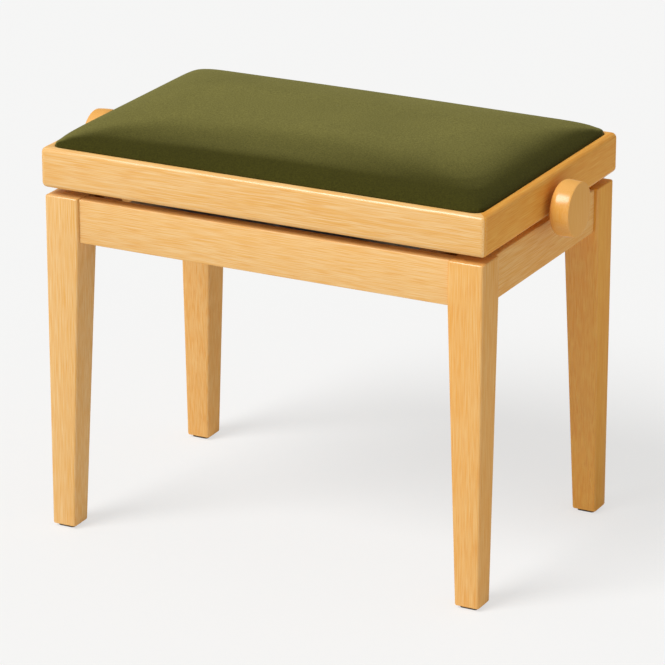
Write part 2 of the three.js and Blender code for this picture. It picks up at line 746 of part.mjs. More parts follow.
function centrePin(y0, y1) {
  const [shank, head] = [centrePinDiameter / 2, centrePinHeadDiameter / 2];
  const length = y1 - y0;
  const thickness = centrePinHeadThickness;
  const profile = [
    new THREE.Vector2(0, 0),
    new THREE.Vector2(head, 0),
    new THREE.Vector2(head, thickness),
    new THREE.Vector2(shank, thickness),
    new THREE.Vector2(shank, length - thickness),
    new THREE.Vector2(head, length - thickness),
    new THREE.Vector2(head, length),
    new THREE.Vector2(0, length),
  ];
  return new THREE.LatheGeometry(profile, barSegments).translate(0, y0, 0);
}

function addArms(bench) {
  const outerArms = new THREE.Group();
  const innerArms = new THREE.Group();
  const drifting = centrePinDiameter / 2 + pivotDrift + fitGap;
  for (const [depthName, sy] of [['front', -1], ['back', 1]]) {
    const outer = arm(centrePinDiameter / 2 + fitGap, sy * outerArmFace, sy * (outerArmFace - armThickness));
    outerArms.add(piece(`outer_arm_${depthName}`, outer, zincSteel));
    const inner = arm(drifting, sy * innerArmFace, sy * (innerArmFace - armThickness));
    innerArms.add(piece(`inner_arm_${depthName}`, inner, zincSteel));
    const pinInside = innerArmFace - armThickness - fitGap - centrePinHeadThickness;
    const pinOutside = outerArmFace + fitGap + centrePinHeadThickness;
    const ends = [sy * pinInside, sy * pinOutside];
    const pin = centrePin(Math.min(...ends), Math.max(...ends)).translate(armPivotLength / 2, 0, 0);
    outerArms.add(piece(`centre_pin_${depthName}`, pin, brightSteel));
  }
  outerArms.rotation.y = -restAngle;
  innerArms.rotation.y = restAngle;
  bench.add(placed(outerArms, fixedPivotX, 0, lowerPivotHeight));
  bench.add(placed(innerArms, fixedPivotX, 0, spindleHeight));
}

function addSlidingEnds(bench) {
  const sleeveStart = channelMouth + armGap;
  const upperEnd = upperWebFace() - channelThickness - armGap;
  const nutBore = spindleDiameter / 2 + pivotDrift + fitGap;
  const nutBar = piece('nut_bar', crossBar(upperEnd, nutBore), zincSteel);
  bench.add(placed(nutBar, slidingPivotX, 0, spindleHeight));
  const rod = piece('slide_rod', rodAlongY(barDiameter / 2, -upperEnd, upperEnd), brightSteel);
  bench.add(placed(rod, slidingPivotX, 0, lowerPivotHeight));
  for (const [name, z] of [['nut_bar_sleeve', spindleHeight], ['slide_rod_sleeve', lowerPivotHeight]]) {
    const [front, back] = [piece(`${name}_front`, sleeve(), nylon), piece(`${name}_back`, sleeve(), nylon)];
    bench.add(placed(front, slidingPivotX, -sleeveStart - sleeveLength, z));
    bench.add(placed(back, slidingPivotX, sleeveStart, z));
  }
}

const bench = new THREE.Group();
addBase(bench);
addSeat(bench);
addSpindle(bench);
addArms(bench);
addSlidingEnds(bench);

export default bench;
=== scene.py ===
"""A height-adjustable piano bench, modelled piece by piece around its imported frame.

Metres, +Z up, X along the bench, front at -Y. The frame's boxes say where each piece goes.
"""
import math

import bmesh
import bpy
from bpy.props import FloatProperty, FloatVectorProperty, PointerProperty
from mathutils import Matrix, Vector


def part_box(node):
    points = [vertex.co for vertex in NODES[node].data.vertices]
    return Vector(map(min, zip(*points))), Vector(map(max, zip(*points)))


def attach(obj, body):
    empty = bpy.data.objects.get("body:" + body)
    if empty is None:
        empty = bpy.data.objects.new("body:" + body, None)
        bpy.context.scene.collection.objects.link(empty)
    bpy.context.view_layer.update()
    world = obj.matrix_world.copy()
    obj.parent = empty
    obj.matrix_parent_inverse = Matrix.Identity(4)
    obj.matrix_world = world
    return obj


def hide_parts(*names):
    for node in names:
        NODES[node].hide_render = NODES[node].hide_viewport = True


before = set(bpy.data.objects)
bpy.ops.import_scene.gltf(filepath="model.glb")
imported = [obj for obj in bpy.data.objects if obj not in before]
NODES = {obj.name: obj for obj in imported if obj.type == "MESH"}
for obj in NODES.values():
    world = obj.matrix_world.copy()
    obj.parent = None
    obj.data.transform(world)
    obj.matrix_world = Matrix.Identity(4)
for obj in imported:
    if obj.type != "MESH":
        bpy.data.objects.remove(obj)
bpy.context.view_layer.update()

bl_info = {
    "name": "Piano Bench",
    "version": (1, 0, 0),
    "blender": (4, 5, 0),
    "location": "3D View > Sidebar > Piano Bench",
    "description": "Models and finishes a height-adjustable piano bench around its packed frame",
    "category": "Add Mesh",
}

X, Y, Z = 0, 1, 2
ALONG = Vector((1, 0, 0)), Vector((0, 1, 0)), Vector((0, 0, 1))
NEAR = 2e-5  # places closer than this are taken as one
ALIGNED = 0.99  # cosine from which a direction counts as an axis's own
BEYOND = 0.005  # how far a cutter stands out of what it cuts
SIDES = {"left": -1, "right": 1}
DEPTHS = {"front": -1, "back": 1}
PLACES = [(f"{d}_{s}", Vector((SIDES[s], DEPTHS[d], 1))) for d in DEPTHS for s in SIDES]


# Sizes and colours that a user would change


def length(name, description, default):
    return FloatProperty(name=name, description=description, default=default, min=0.0,
                         unit="LENGTH", precision=5)


def colour(name, description, default):
    return FloatVectorProperty(name=name, description=description, default=default, size=3,
                               min=0.0, max=1.0, subtype="COLOR")


def angle(name, description, degrees):
    return FloatProperty(name=name, description=description, default=math.radians(degrees),
                         subtype="ANGLE")


def number(name, description, default, highest=100.0):
    return FloatProperty(name=name, description=description, default=default, min=0.0,
                         max=highest)


class BenchSizes(bpy.types.PropertyGroup):
    """Roundings and small details that the frame leaves plain"""

    leg_edge: length("Leg edge", "Radius along the edges of the legs", 0.003)
    leg_top_edge: length("Leg top edge", "Radius round the top of each leg", 0.002)
    foot_section: length("Foot section", "Side of the leg where it meets the floor", 0.030)
    foot_chamfer: length("Foot chamfer", "Chamfer round the foot of each leg", 0.002)
    glide_corner: length("Glide corner", "Radius of the glides' corners", 0.003)
    apron_edge: length("Apron edge", "Radius along the edges of the aprons", 0.0015)
    shoulder_gap: length("Shoulder gap", "Gap between an apron's shoulder and its leg", 0.0002)
    tenon_thickness: length("Tenon thickness", "Thickness of the aprons' tenons", 0.008)
    tenon_shoulder: length("Tenon shoulder", "Step above and below each tenon", 0.008)
    brace_edge: length("Brace edge", "Radius along the edges of the corner braces", 0.0008)
    rail_edge: length("Seat rail edge", "Radius along the outer edges of the seat frame", 0.0065)
    lip_edge: length("Lip edge", "Radius along the lip round the cushion", 0.0012)
    side_lip: length("Side lip", "Width of the seat frame's lip at the sides", 0.0105)
    front_lip: length("Front lip", "Width of the lip at the front and back", 0.008)
    rebate_corner: length("Rebate corner", "Radius of the rebate's corners", 0.012)
    mitre_gap: length("Mitre gap", "Gap in the mitres of the seat frame", 0.00015)
    bush_hole: length("Bush hole", "Radius of the holes for the bushes", 0.0073)
    fit_gap: length("Fit gap", "Clearance between seated faces", 0.0003)
    fine_edge: length("Fine edge", "Broken edge on the glides and the board", 0.0005)
    knob_back_edge: length("Knob back edge", "Radius round the back of each knob", 0.009)
    knob_face_edge: length("Knob face edge", "Radius round the face of each knob", 0.0008)
    knob_taper: length("Knob taper", "How much smaller the face's radius is", 0.00125)
    journal: length("Journal radius", "Radius of the spindle in its bushes and knobs", 0.005)
    journal_length: length("Journal length", "From a rail's inside to the step", 0.0063)
    thread_pitch: length("Thread pitch", "Rise of the thread in one turn", 0.003)
    thread_depth: length("Thread depth", "Depth of the spindle's thread", 0.0009)
    thread_reach: length("Thread reach", "How far the thread goes past the nut", 0.045)
    thread_end: length("Thread end", "Plain length between the thread and the step", 0.004)
    bush: length("Bush radius", "Radius of the bushes in their rails", 0.007)
    bush_flange: length("Bush flange", "Thickness of the bushes' flanges", 0.002)
    bar: length("Bar radius", "Radius of the lift's round bars", 0.006)
    block: length("Block", "Half the length of the blocks on the cross bars", 0.014)
    block_edge: length("Block edge", "Radius along the edges of the blocks", 0.001)
    block_bore: length("Block bore", "Radius of the fixed bar's bore", 0.0063)
    nut_bore: length("Nut bore", "Radius of the nut's bore", 0.00718)
    steel: length("Channel steel", "Thickness of the channels' steel", 0.0025)
    channel_bend: length("Channel bend", "Outer radius of the channels' bends", 0.0035)
    arm_width: length("Arm width", "Width of the lift's flat arms", 0.024)
    pin: length("Pin radius", "Radius of the centre pins' shanks", 0.004)
    pin_head: length("Pin head", "Thickness of the centre pins' heads", 0.002)
    outer_pin_hole: length("Outer pin hole", "Radius of the outer arms' holes", 0.0043)
    inner_pin_hole: length("Inner pin hole", "Radius of the inner arms' holes", 0.00518)
    turned_edge: length("Turned edge", "Broken edge on the pins and sleeves", 0.0006)
    screw: length("Screw radius", "Radius of the screws' shanks", 0.002)
    screw_head: length("Screw head radius", "Radius of the screws' heads", 0.004)
    screw_cap: length("Screw head height", "Height of the pan heads", 0.002)
    recess: length("Recess", "From the middle to an end of the cross recess", 0.0021)
    recess_width: length("Recess width", "Half the width of the recess's slots", 0.0004)
    recess_depth: length("Recess depth", "Depth of the cross recess", 0.0011)
    steel_edge: length("Steel edge", "Broken edge on the steel pieces and bushes", 0.0004)
    cover_mesh: length("Cover mesh", "Distance between the points of the cover", 0.005)
    overhang: length("Overhang", "How far the cover stands out over the lip", 0.0016)
    most_swelling: length("Most swelling", "Furthest that the cover may move", 0.008)
    pressure: number("Pressure", "Pressure under the cushion's cover", 2.5)
    foam_hold: number("Foam hold", "How firmly the foam holds the cover's shape", 0.1, 1.0)


class BenchFinishes(bpy.types.PropertyGroup):
    """Colours of the finishes"""

    beech_light: colour("Beech, light", "Wood between the grain lines", (0.81, 0.525, 0.225))
    beech_deep: colour("Beech, deep", "Wood in the grain lines", (0.755, 0.385, 0.080))
    # Board tints: a real tone that differs from board to board, laid out so that the deeper tints
    # fall on pieces away from the light, which paints shade.
    pale_board: colour("Pale boards", "Tint of the palest boards", (1.0, 1.0, 1.0))
    warm_board: colour("Warm boards", "Tint of the warmer boards", (0.99, 0.90, 0.70))
    amber_board: colour("Amber wood", "Tint of the turned knobs", (0.975, 0.83, 0.50))
    deep_board: colour("Deep boards", "Tint of the deepest boards", (0.96, 0.75, 0.27))
    # Painted shade: a dark tint for the corner braces, so that the gap under the seat frame,
    # where they show, reads as shaded.
    heart_board: colour("Heartwood", "Tint of the brown corner braces", (0.52, 0.40, 0.22))
    birch: colour("Plywood", "Face of the seat board", (0.62, 0.42, 0.22))
    velvet: colour("Velvet", "Pile seen straight on", (0.044, 0.0400, 0.0050))
    # Painted sheen: mixed into the pile's colour where it is seen at a low angle; it also tints
    # the shader's own sheen.
    velvet_sheen: colour("Velvet sheen", "Pile seen at a low angle", (0.160, 0.1455, 0.0375))
    felt: colour("Felt", "Glides under the feet", (0.045, 0.037, 0.028))
    nylon: colour("Nylon", "Bushes and sleeves", (0.76, 0.73, 0.64))
    # Kept dark: partly the plating's own colour, partly painted shade, so that the channel seen
    # in the gap under the seat frame stays dark.
    zinc: colour("Zinc", "Channels, arms and cross bars", (0.30, 0.32, 0.34))
    bright: colour("Bright steel", "Rods, screws and the spindle", (0.62, 0.63, 0.64))
    floor: colour("Floor", "Floor and surroundings", (0.905, 0.905, 0.900))


class BenchStage(bpy.types.PropertyGroup):
    """Camera and lights"""

    azimuth: angle("Azimuth", "Camera's angle round the bench from the front", 27.369)
    elevation: angle("Elevation", "Camera's angle above the horizon", 19.812)
    distance: length("Distance", "From the camera to the point that it looks at", 4.50848)
    target: FloatVectorProperty(name="Target", description="Point that the camera looks at",
                                default=(0.050835, -0.093739, 0.268726), size=3,
                                subtype="XYZ_LENGTH")
    lens: number("Lens", "Focal length in millimetres", 215.16, 1000.0)
    key_strength: number("Key strength", "Light from the front left", 2.44)
    key_azimuth: angle("Key azimuth", "Where the key light comes from", -30.0)
    key_elevation: angle("Key elevation", "Height of the key light", 48.0)
    key_spread: angle("Key spread", "Angle that the key light covers in the sky", 30.0)
    ambient: number("Ambient", "Light from all round", 0.45)
    floor_size: length("Floor size", "Side of the floor", 24.0)
    floor_glow: number("Floor glow", "How much the floor's shadows are lightened", 0.68, 1.0)


# Working on a piece, as by hand


def only(piece):
    """Leaves edit mode, and leaves one piece selected and active."""
    if bpy.context.mode != "OBJECT":
        bpy.ops.object.mode_set(mode="OBJECT")
    bpy.ops.object.select_all(action="DESELECT")
    if piece:
        piece.select_set(True)
        bpy.context.view_layer.objects.active = piece


def settle(piece):
    """Puts the piece's place, turn and scale into its mesh."""
    only(piece)
    bpy.ops.object.transform_apply(location=True, rotation=True, scale=True)
    return piece


def named(name):
    """Names the primitive that was just added."""
    piece = bpy.context.object
    piece.name = piece.data.name = name
    return settle(piece)


def add_box(name, low, high):
    only(None)
    low, high = Vector(low), Vector(high)
    bpy.ops.mesh.primitive_cube_add(size=1, location=(low + high) / 2, scale=high - low)
    return named(name)


def add_rod(name, start, end, radius, segments=48):
    only(None)
    start, end = Vector(start), Vector(end)
    bpy.ops.mesh.primitive_cylinder_add(
        vertices=segments, radius=radius, depth=(end - start).length,
        location=(start + end) / 2, rotation=(end - start).to_track_quat("Z", "Y").to_euler())
    return named(name)


def hole(centre, way, radius, segments=48):
    """A cutter for a hole through a place, that reaches as far as way to both sides."""
    return add_rod("hole", centre - way, centre + way, radius, segments)


def centre_of(node):
    low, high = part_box(node)
    return (low + high) / 2


def middle(part):
    corners = getattr(part, "verts", [part])
    return sum((corner.co for corner in corners), Vector()) / len(corners)


def runs_along(edge, axis):
    way = (edge.verts[1].co - edge.verts[0].co).normalized()
    return abs(way[axis]) > ALIGNED


def pick(piece, kind, wanted=lambda part: True):
    """Opens the piece in edit mode with only the wanted vertices, edges or faces selected."""
    only(piece)
    bpy.ops.object.mode_set(mode="EDIT")
    bpy.ops.mesh.select_mode(type=kind)
    bpy.ops.mesh.select_all(action="DESELECT")
    shape = bmesh.from_edit_mesh(piece.data)
    parts = {"VERT": shape.verts, "EDGE": shape.edges, "FACE": shape.faces}[kind]
    found = [part for part in parts if wanted(part)]
    if not found:
        raise RuntimeError(f"{piece.name}: there is no such {kind.lower()} to shape")
    for part in found:
        part.select_set(True)
    bmesh.update_edit_mesh(piece.data)


def round_edges(piece, wanted, radius, segments):
    pick(piece, "EDGE", wanted)
    bpy.ops.mesh.bevel(offset=radius, segments=segments, affect="EDGES")
    only(piece)


def slice_off(piece, point, normal, keep_both=False):
    """Cuts the piece with a plane, and takes away what is on the normal's side."""
    pick(piece, "FACE")
    bpy.ops.mesh.bisect(plane_co=point, plane_no=normal, use_fill=not keep_both,
                        clear_outer=not keep_both)
    only(piece)


def modify(piece, kind, **settings):
    """Adds a modifier and applies it."""
    only(piece)
    bpy.ops.object.modifier_add(type=kind)
    modifier = piece.modifiers[-1]
    for name, value in settings.items():
        setattr(modifier, name, value)
    bpy.ops.object.modifier_apply(modifier=modifier.name)
    return piece


def carve(piece, *cutters, way="DIFFERENCE"):
    for cutter in cutters:
        modify(piece, "BOOLEAN", operation=way, solver="EXACT", object=cutter)
        bpy.data.objects.remove(cutter)
    return piece


def break_edges(piece, width, segments=2):
    """A small rounding on every sharp edge."""
    return modify(piece, "BEVEL", width=width, segments=segments, limit_method="ANGLE",
                  angle_limit=math.radians(35), harden_normals=False)


def turn_out(piece):
    """Merges doubles and points all faces outwards."""
    pick(piece, "FACE")
    bpy.ops.mesh.remove_doubles(threshold=NEAR / 4)
    bpy.ops.mesh.normals_make_consistent(inside=False)
    only(piece)
    return piece


def turned(name, profile, origin, axis, segments=48):
    """Spins (distance along the axis, radius) points round an axis, as on a lathe."""
    only(None)
    origin = Vector(origin)
    across = ALONG[Z] if abs(axis.z) < 0.5 else ALONG[X]
    bpy.ops.mesh.primitive_plane_add(size=0.001, location=origin)
    piece = named(name)
    pick(piece, "VERT")
    bpy.ops.mesh.merge(type="CENTER")
    place = Vector()
    for n, (distance, radius) in enumerate(profile):
        step = axis * distance + across * radius - place
        place += step
        if n:
            bpy.ops.mesh.extrude_vertices_move(TRANSFORM_OT_translate={"value": step})
        else:
            bpy.ops.transform.translate(value=step)
    bpy.ops.mesh.select_all(action="SELECT")
    bpy.ops.mesh.spin(steps=segments, angle=2 * math.pi, center=origin, axis=axis)
    return turn_out(piece)


def turned_ring(name, node, axis, bore):
    """A ring with the given bore, as wide and as thick as the node's box."""
    low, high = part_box(node)
    start = (low + high) / 2
    start[axis] = low[axis]
    width, outer = high[axis] - low[axis], (high - low)[1 - axis] / 2
    return turned(name, [(0, bore), (0, outer), (width, outer), (width, bore), (0, bore)],
                  start, ALONG[axis])


def add_object(name, data=None):
    made = bpy.data.objects.new(name, data)
    bpy.context.scene.collection.objects.link(made)
    return made


def copied(piece, name, matrix=None):
    """A copy with its own mesh, moved by a matrix."""
    only(piece)
    bpy.ops.object.duplicate()
    copy = bpy.context.object
    copy.name = copy.data.name = name
    if matrix:
        copy.matrix_world = matrix
        settle(copy)
        if matrix.determinant() < 0:
            turn_out(copy)
    return copy


def mirrored(piece, here, there):
    """A copy on the other side of the bench, named for it."""
    flip = [-1 if here in SIDES else 1, -1 if here in DEPTHS else 1, 1]
    name = piece.name.replace(here, there)
    return copied(piece, name, Matrix.Diagonal((*flip, 1)))


def at_corners(piece):
    """The piece in the front left corner, and its copies turned or mirrored to the others."""
    for place, flip in PLACES[::-1]:
        if place == "front_left":
            yield place, flip, piece
        else:
            name = piece.name.replace("front_left", place)
            yield place, flip, copied(piece, name, Matrix.Diagonal((-flip.x, -flip.y, 1, 1)))


def finish_piece(piece, body, slot, node, material=None, smooth=30):
    """Smooths the piece, gives it its finish, and lets it stand for its node on its body."""
    only(piece)
    bpy.ops.object.shade_smooth_by_angle(angle=math.radians(smooth))
    piece.data.materials.clear()
    piece.data.materials.append(material or finish(slot))
    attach(piece, body)
    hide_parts(node)


def finish_twins(piece, body, slot, node, here="front", there="back", **look):
    """Mirrors a piece to the other side of the bench, and finishes both."""
    twin = mirrored(piece, here, there)
    finish_piece(piece, body, slot, node, **look)
    finish_piece(twin, body, slot, node.replace(here, there), **look)


def finish_boards(pieces, body, node, boards):
    """Finishes the boards at the front, back, left and right, each cut from its own wood, whose
    tint is also painted shade where it is deeper.
    """
    for piece, (side, board) in zip(pieces, boards.items()):
        grain = "lengthwise" if side in DEPTHS else "crosswise"
        finish_piece(piece, body, "beech", f"{node}_{side}", beech(grain, board))


# Finishes


def add_node(tree, kind, inputs=None, **settings):
    """Adds a shader node; an input is a number, a colour or another node's socket."""
    made = tree.nodes.new("ShaderNode" + kind)
    for name, value in settings.items():
        setattr(made, name, value)
    for name, value in (inputs or {}).items():
        if isinstance(value, bpy.types.NodeSocket):
            tree.links.new(value, made.inputs[name])
        else:
            made.inputs[name].default_value = value
    return made


def rgba(value, share=1.0):
    """A colour, or a darker or lighter one, as a socket takes it."""
    return (*(share * part for part in value), 1.0)


def blank_material(name):
    material = bpy.data.materials.new(name)
    material.use_nodes = True
    material.node_tree.nodes.clear()
    return material, material.node_tree


def coordinates(tree, scale=(1, 1, 1), rotation=(0, 0, 0)):
    """Object coordinates, turned and then stretched."""
    where = add_node(tree, "TexCoord").outputs["Object"]
    if any(rotation):
        where = add_node(tree, "Mapping",
                         {"Vector": where, "Rotation": rotation}).outputs[0]
    return add_node(tree, "Mapping", {"Vector": where, "Scale": scale}).outputs[0]


def noise(tree, where, scale, detail=2.0, roughness=0.5, distortion=0.0):
    return add_node(tree, "TexNoise", {
        "Vector": where, "Scale": scale, "Detail": detail, "Roughness": roughness,
        "Distortion": distortion}).outputs["Fac"]


def spread(tree, value, low, high, to_low=0.0, to_high=1.0, curve="LINEAR"):
    return add_node(tree, "MapRange", {
        "Value": value, "From Min": low, "From Max": high, "To Min": to_low,
        "To Max": to_high}, interpolation_type=curve).outputs["Result"]


def calculate(tree, operation, *values, **settings):
    return add_node(tree, "Math", dict(enumerate(values)), operation=operation,
                    **settings).outputs[0]


def blend_colours(tree, share, first, second, way="MIX"):
    return add_node(tree, "Mix", {0: share, 6: first, 7: second}, data_type="RGBA",
                    blend_type=way).outputs[2]


def two_tone(tree, share, tone, change, first=None):
    """Passes from a colour, or from what is given first, into a share of that colour."""
    return blend_colours(tree, share, rgba(tone) if first is None else first,
                         rgba(tone, change))


def bumps(tree, height, strength, distance):
    return add_node(tree, "Bump", {
        "Height": height, "Strength": strength, "Distance": distance}).outputs["Normal"]


def face_normal(tree):
    return add_node(tree, "NewGeometry").outputs["Normal"]


def low_angle(tree, **inputs):
    """0 where a surface is seen straight on, and 1 where it is seen edge on."""
    return add_node(tree, "LayerWeight", {"Blend": 0.5, **inputs}).outputs["Facing"]


def close_material(tree, **inputs):
    """The shader with the given sockets, and the output."""
    shader = add_node(tree, "BsdfPrincipled",
                      {name.replace("_", " "): value for name, value in inputs.items()})
    add_node(tree, "OutputMaterial", {"Surface": shader.outputs["BSDF"]})


GRAIN = {"lengthwise": X, "crosswise": Y, "upright": Z}
GRAIN_STRETCH = 0.022  # how little the grain changes along its axis
FIBRE_TINT = (0.93, 0.84, 0.7)  # of the darkest fibres
SATIN, SOFT = 0.25, 0.8  # roughness straight on and edge on, and in between


def beech(grain, board="pale", turn=0, figure=1.0):
    """Varnished beech with its grain along one axis; figure is how strong the grain is."""
    name = f"beech_{grain}_{board}"
    name += f"_turned_{'left' if turn > 0 else 'right'}" if turn else ""
    name += "_plain" if figure < 1 else ""
    if name in bpy.data.materials:
        return bpy.data.materials[name]
    colours = bpy.context.scene.bench_finishes
    tint = getattr(colours, f"{board}_board")
    light, deep = ([a * b for a, b in zip(wood, tint)]
                   for wood in (colours.beech_light, colours.beech_deep))
    between = [(a + b) / 2 for a, b in zip(light, deep)]
    light, deep = ([m + (c - m) * figure for c, m in zip(wood, between)]
                   for wood in (light, deep))
    material, tree = blank_material(name)
    stretch = [1.0, 1.0, 1.0]
    stretch[GRAIN[grain]] = GRAIN_STRETCH
    where = coordinates(tree, stretch, (0, 0, turn))
    cloud = noise(tree, where, 24.0, 2.0, 0.5, 0.4)
    streak = noise(tree, where, 1000.0, 1.0)
    fibre = noise(tree, where, 1500.0, 1.0)
    amount = calculate(tree, "ADD", spread(tree, streak, 0.36, 0.64, 0.0, 0.85),
                       spread(tree, cloud, 0.3, 0.7, -0.15, 0.15), use_clamp=True)
    wood = blend_colours(tree, amount, rgba(light), rgba(deep))
    wood = blend_colours(tree, spread(tree, fibre, 0.5, 0.7, 0.0, 0.7 * figure), wood,
                         rgba([a * b for a, b in zip(deep, FIBRE_TINT)]))
    seen = low_angle(tree)
    rough = calculate(tree, "MINIMUM", spread(tree, seen, 0.2, 0.55, SATIN, SOFT),
                      spread(tree, seen, 0.73, 0.88, SOFT, SATIN))
    close_material(tree, Base_Color=wood, Roughness=rough, Specular_IOR_Level=0.52,
                   Normal=bumps(tree, streak, 0.10, 0.0003))
    return material


def plywood(tree, colours):
    """Birch: a plain grained face, and thin layers in turn dark and light on its edges."""
    grain = noise(tree, coordinates(tree, (0.05, 1.0, 1.0)), 260.0, 3.0, 0.6)
    face = two_tone(tree, spread(tree, grain, 0.35, 0.7), colours.birch, 0.72)
    layers = add_node(tree, "TexWave", {
        "Vector": coordinates(tree), "Scale": 150.0, "Distortion": 0.3, "Detail": 1.0},
        bands_direction="Z").outputs["Fac"]
    edge = two_tone(tree, spread(tree, layers, 0.3, 0.7), colours.birch, 0.5, face)
    upright = add_node(tree, "SeparateXYZ", {"Vector": face_normal(tree)}).outputs["Z"]
    flat = spread(tree, calculate(tree, "ABSOLUTE", upright), 0.4, 0.6)
    close_material(tree, Base_Color=blend_colours(tree, flat, edge, face), Roughness=0.7,
                   Normal=bumps(tree, grain, 0.15, 0.0003))


def velvet(tree, colours):
    """Short olive pile in soft patches, with a sheen painted into its colour where it is seen at
    a low angle, leaned towards the left.
    """
    # Tilts the normal that the painted sheen is measured from towards the left.
    sheen_lean = (-0.4, 0.0, 0.0)
    where = coordinates(tree)
    patch = noise(tree, where, 9.0, 3.0, 0.55, 0.3)
    pile = noise(tree, where, 520.0, 2.0, 0.7)
    sheen_normal = add_node(tree, "VectorMath", {0: face_normal(tree), 1: sheen_lean}).outputs[0]
    sheen_normal = add_node(tree, "VectorMath", {0: sheen_normal}, operation="NORMALIZE").outputs[0]
    # Painted sheen: the pile turns to the lighter colour where it is seen edge on.
    sheen = spread(tree, low_angle(tree, Normal=sheen_normal), 0.645, 0.865, curve="SMOOTHSTEP")
    cloth = blend_colours(tree, sheen, rgba(colours.velvet), rgba(colours.velvet_sheen))
    depth = calculate(tree, "MULTIPLY", spread(tree, patch, 0.3, 0.7, 0.93, 1.07),
                      spread(tree, pile, 0.3, 0.7, 1.25, 0.75))
    close_material(tree, Base_Color=blend_colours(tree, 1.0, cloth, depth, "MULTIPLY"),
                   Roughness=0.95, Specular_IOR_Level=0.1, Sheen_Weight=0.12,
                   Sheen_Roughness=0.3, Normal=bumps(tree, pile, 0.5, 0.0006),
                   Sheen_Tint=rgba(colours.velvet_sheen, 1 / max(colours.velvet_sheen)))


def felt(tree, colours):
    fibres = noise(tree, coordinates(tree), 1400.0, 4.0, 0.7)
    cloth = two_tone(tree, spread(tree, fibres, 0.3, 0.7), colours.felt, 1.8)
    close_material(tree, Base_Color=cloth, Roughness=0.95,
                   Normal=bumps(tree, fibres, 0.6, 0.0005))


def nylon(tree, colours):
    cloud = noise(tree, coordinates(tree), 120.0)
    close_material(tree, Base_Color=two_tone(tree, cloud, colours.nylon, 0.9),
                   Roughness=spread(tree, cloud, 0.3, 0.7, 0.42, 0.55),
                   Normal=bumps(tree, cloud, 0.05, 0.0003))


def zinc_steel(tree, colours):
    """Zinc plating: a faint crystal mottle over rolled steel."""
    where = coordinates(tree)
    crystals = add_node(tree, "TexVoronoi",
                        {"Vector": where, "Scale": 220.0}).outputs["Color"]
    cloud = noise(tree, where, 40.0, 3.0)
    body = blend_colours(tree, 0.06, rgba(colours.zinc), crystals)
    body = two_tone(tree, spread(tree, cloud, 0.3, 0.7, 0.0, 0.35), colours.zinc, 0.72, body)
    close_material(tree, Base_Color=body, Metallic=0.9,
                   Roughness=spread(tree, cloud, 0.3, 0.7, 0.36, 0.52),
                   Normal=bumps(tree, cloud, 0.08, 0.0005))


def bright_steel(tree, colours):
    """Drawn steel with fine lines round and along it."""
    lines = noise(tree, coordinates(tree, (1.0, 0.08, 1.0)), 1800.0, 2.0, 0.6)
    body = two_tone(tree, spread(tree, lines, 0.35, 0.65, 0.0, 0.3), colours.bright, 0.7)
    close_material(tree, Base_Color=body, Metallic=1.0,
                   Roughness=spread(tree, lines, 0.3, 0.7, 0.24, 0.36),
                   Normal=bumps(tree, lines, 0.05, 0.0002))


FINISHES = {
    "plywood": ("birch_plywood", plywood),
    "velvet": ("olive_velvet", velvet),
    "felt": ("dark_felt", felt),
    "nylon": ("natural_nylon", nylon),
    "zinc_steel": ("zinc_plated_steel", zinc_steel),
    "bright_steel": ("bright_drawn_steel", bright_steel),
}


def finish(slot):
    """The slot's finish, made when it is first asked for."""
    name, make = FINISHES[slot]
    if name not in bpy.data.materials:
        make(blank_material(name)[1], bpy.context.scene.bench_finishes)
    return bpy.data.materials[name]


# Pieces


class BenchOperator:
    """What all the operators share"""

    bl_options = {"REGISTER", "UNDO"}


class BENCH_OT_legs(BenchOperator, bpy.types.Operator):
    """Four legs, tapered on their inner faces: one is shaped, and the others mirror it"""

    bl_idname = "piano_bench.legs"
    bl_label = "Legs"
    # The front left leg, in the light, is palest and the back right leg, in the seat's shadow, is
    # deepest: partly painted shade.
    boards = {"front_left": "pale", "front_right": "warm", "back_left": "warm",
              "back_right": "deep"}

    def execute(self, context):
        sizes = context.scene.bench_sizes
        low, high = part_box("leg_front_left")
        leg = add_box("front_left_leg", low, high)
        slice_off(leg, (0, 0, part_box("apron_front")[0].z), ALONG[Z], keep_both=True)
        pick(leg, "VERT", lambda corner: corner.co.z < low.z + NEAR)
        share = sizes.foot_section / (high.x - low.x)
        bpy.ops.transform.resize(value=(share, share, 1), center_override=low)
        round_edges(leg, lambda edge: abs(edge.verts[0].co.z - edge.verts[1].co.z) > NEAR,
                    sizes.leg_edge, 4)
        round_edges(leg, lambda edge: middle(edge).z > high.z - NEAR, sizes.leg_top_edge, 3)
        round_edges(leg, lambda edge: middle(edge).z < low.z + NEAR, sizes.foot_chamfer, 2)
        self.mortise(leg, sizes, "apron_front", X)
        self.mortise(leg, sizes, "apron_left", Y)
        for place, _, piece in at_corners(leg):
            finish_piece(piece, "base", "beech", f"leg_{place}",
                         beech("upright", self.boards[place]))
        return {"FINISHED"}

    def mortise(self, leg, sizes, apron, axis):
        """The slot that takes the apron's tenon."""
        low, high = (corner.copy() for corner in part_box(apron))
        across = 1 - axis
        centre = (low[across] + high[across]) / 2
        half = sizes.tenon_thickness / 2 + sizes.fit_gap
        low[across], high[across] = centre - half, centre + half
        low.z += sizes.tenon_shoulder - sizes.fit_gap
        high.z -= sizes.tenon_shoulder - sizes.fit_gap
        low[axis] -= sizes.fit_gap
        high[axis] = 0
        carve(leg, add_box("mortise", low, high))


class BENCH_OT_foot_glides(BenchOperator, bpy.types.Operator):
    """Felt glides under the feet"""

    bl_idname = "piano_bench.foot_glides"
    bl_label = "Foot glides"

    def execute(self, context):
        sizes = context.scene.bench_sizes
        glide = add_box("front_left_glide", *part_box("foot_glide_front_left"))
        round_edges(glide, lambda edge: runs_along(edge, Z), sizes.glide_corner, 5)
        break_edges(glide, sizes.fine_edge)
        for place, _, piece in at_corners(glide):
            finish_piece(piece, "base", "felt", f"foot_glide_{place}")
        return {"FINISHED"}


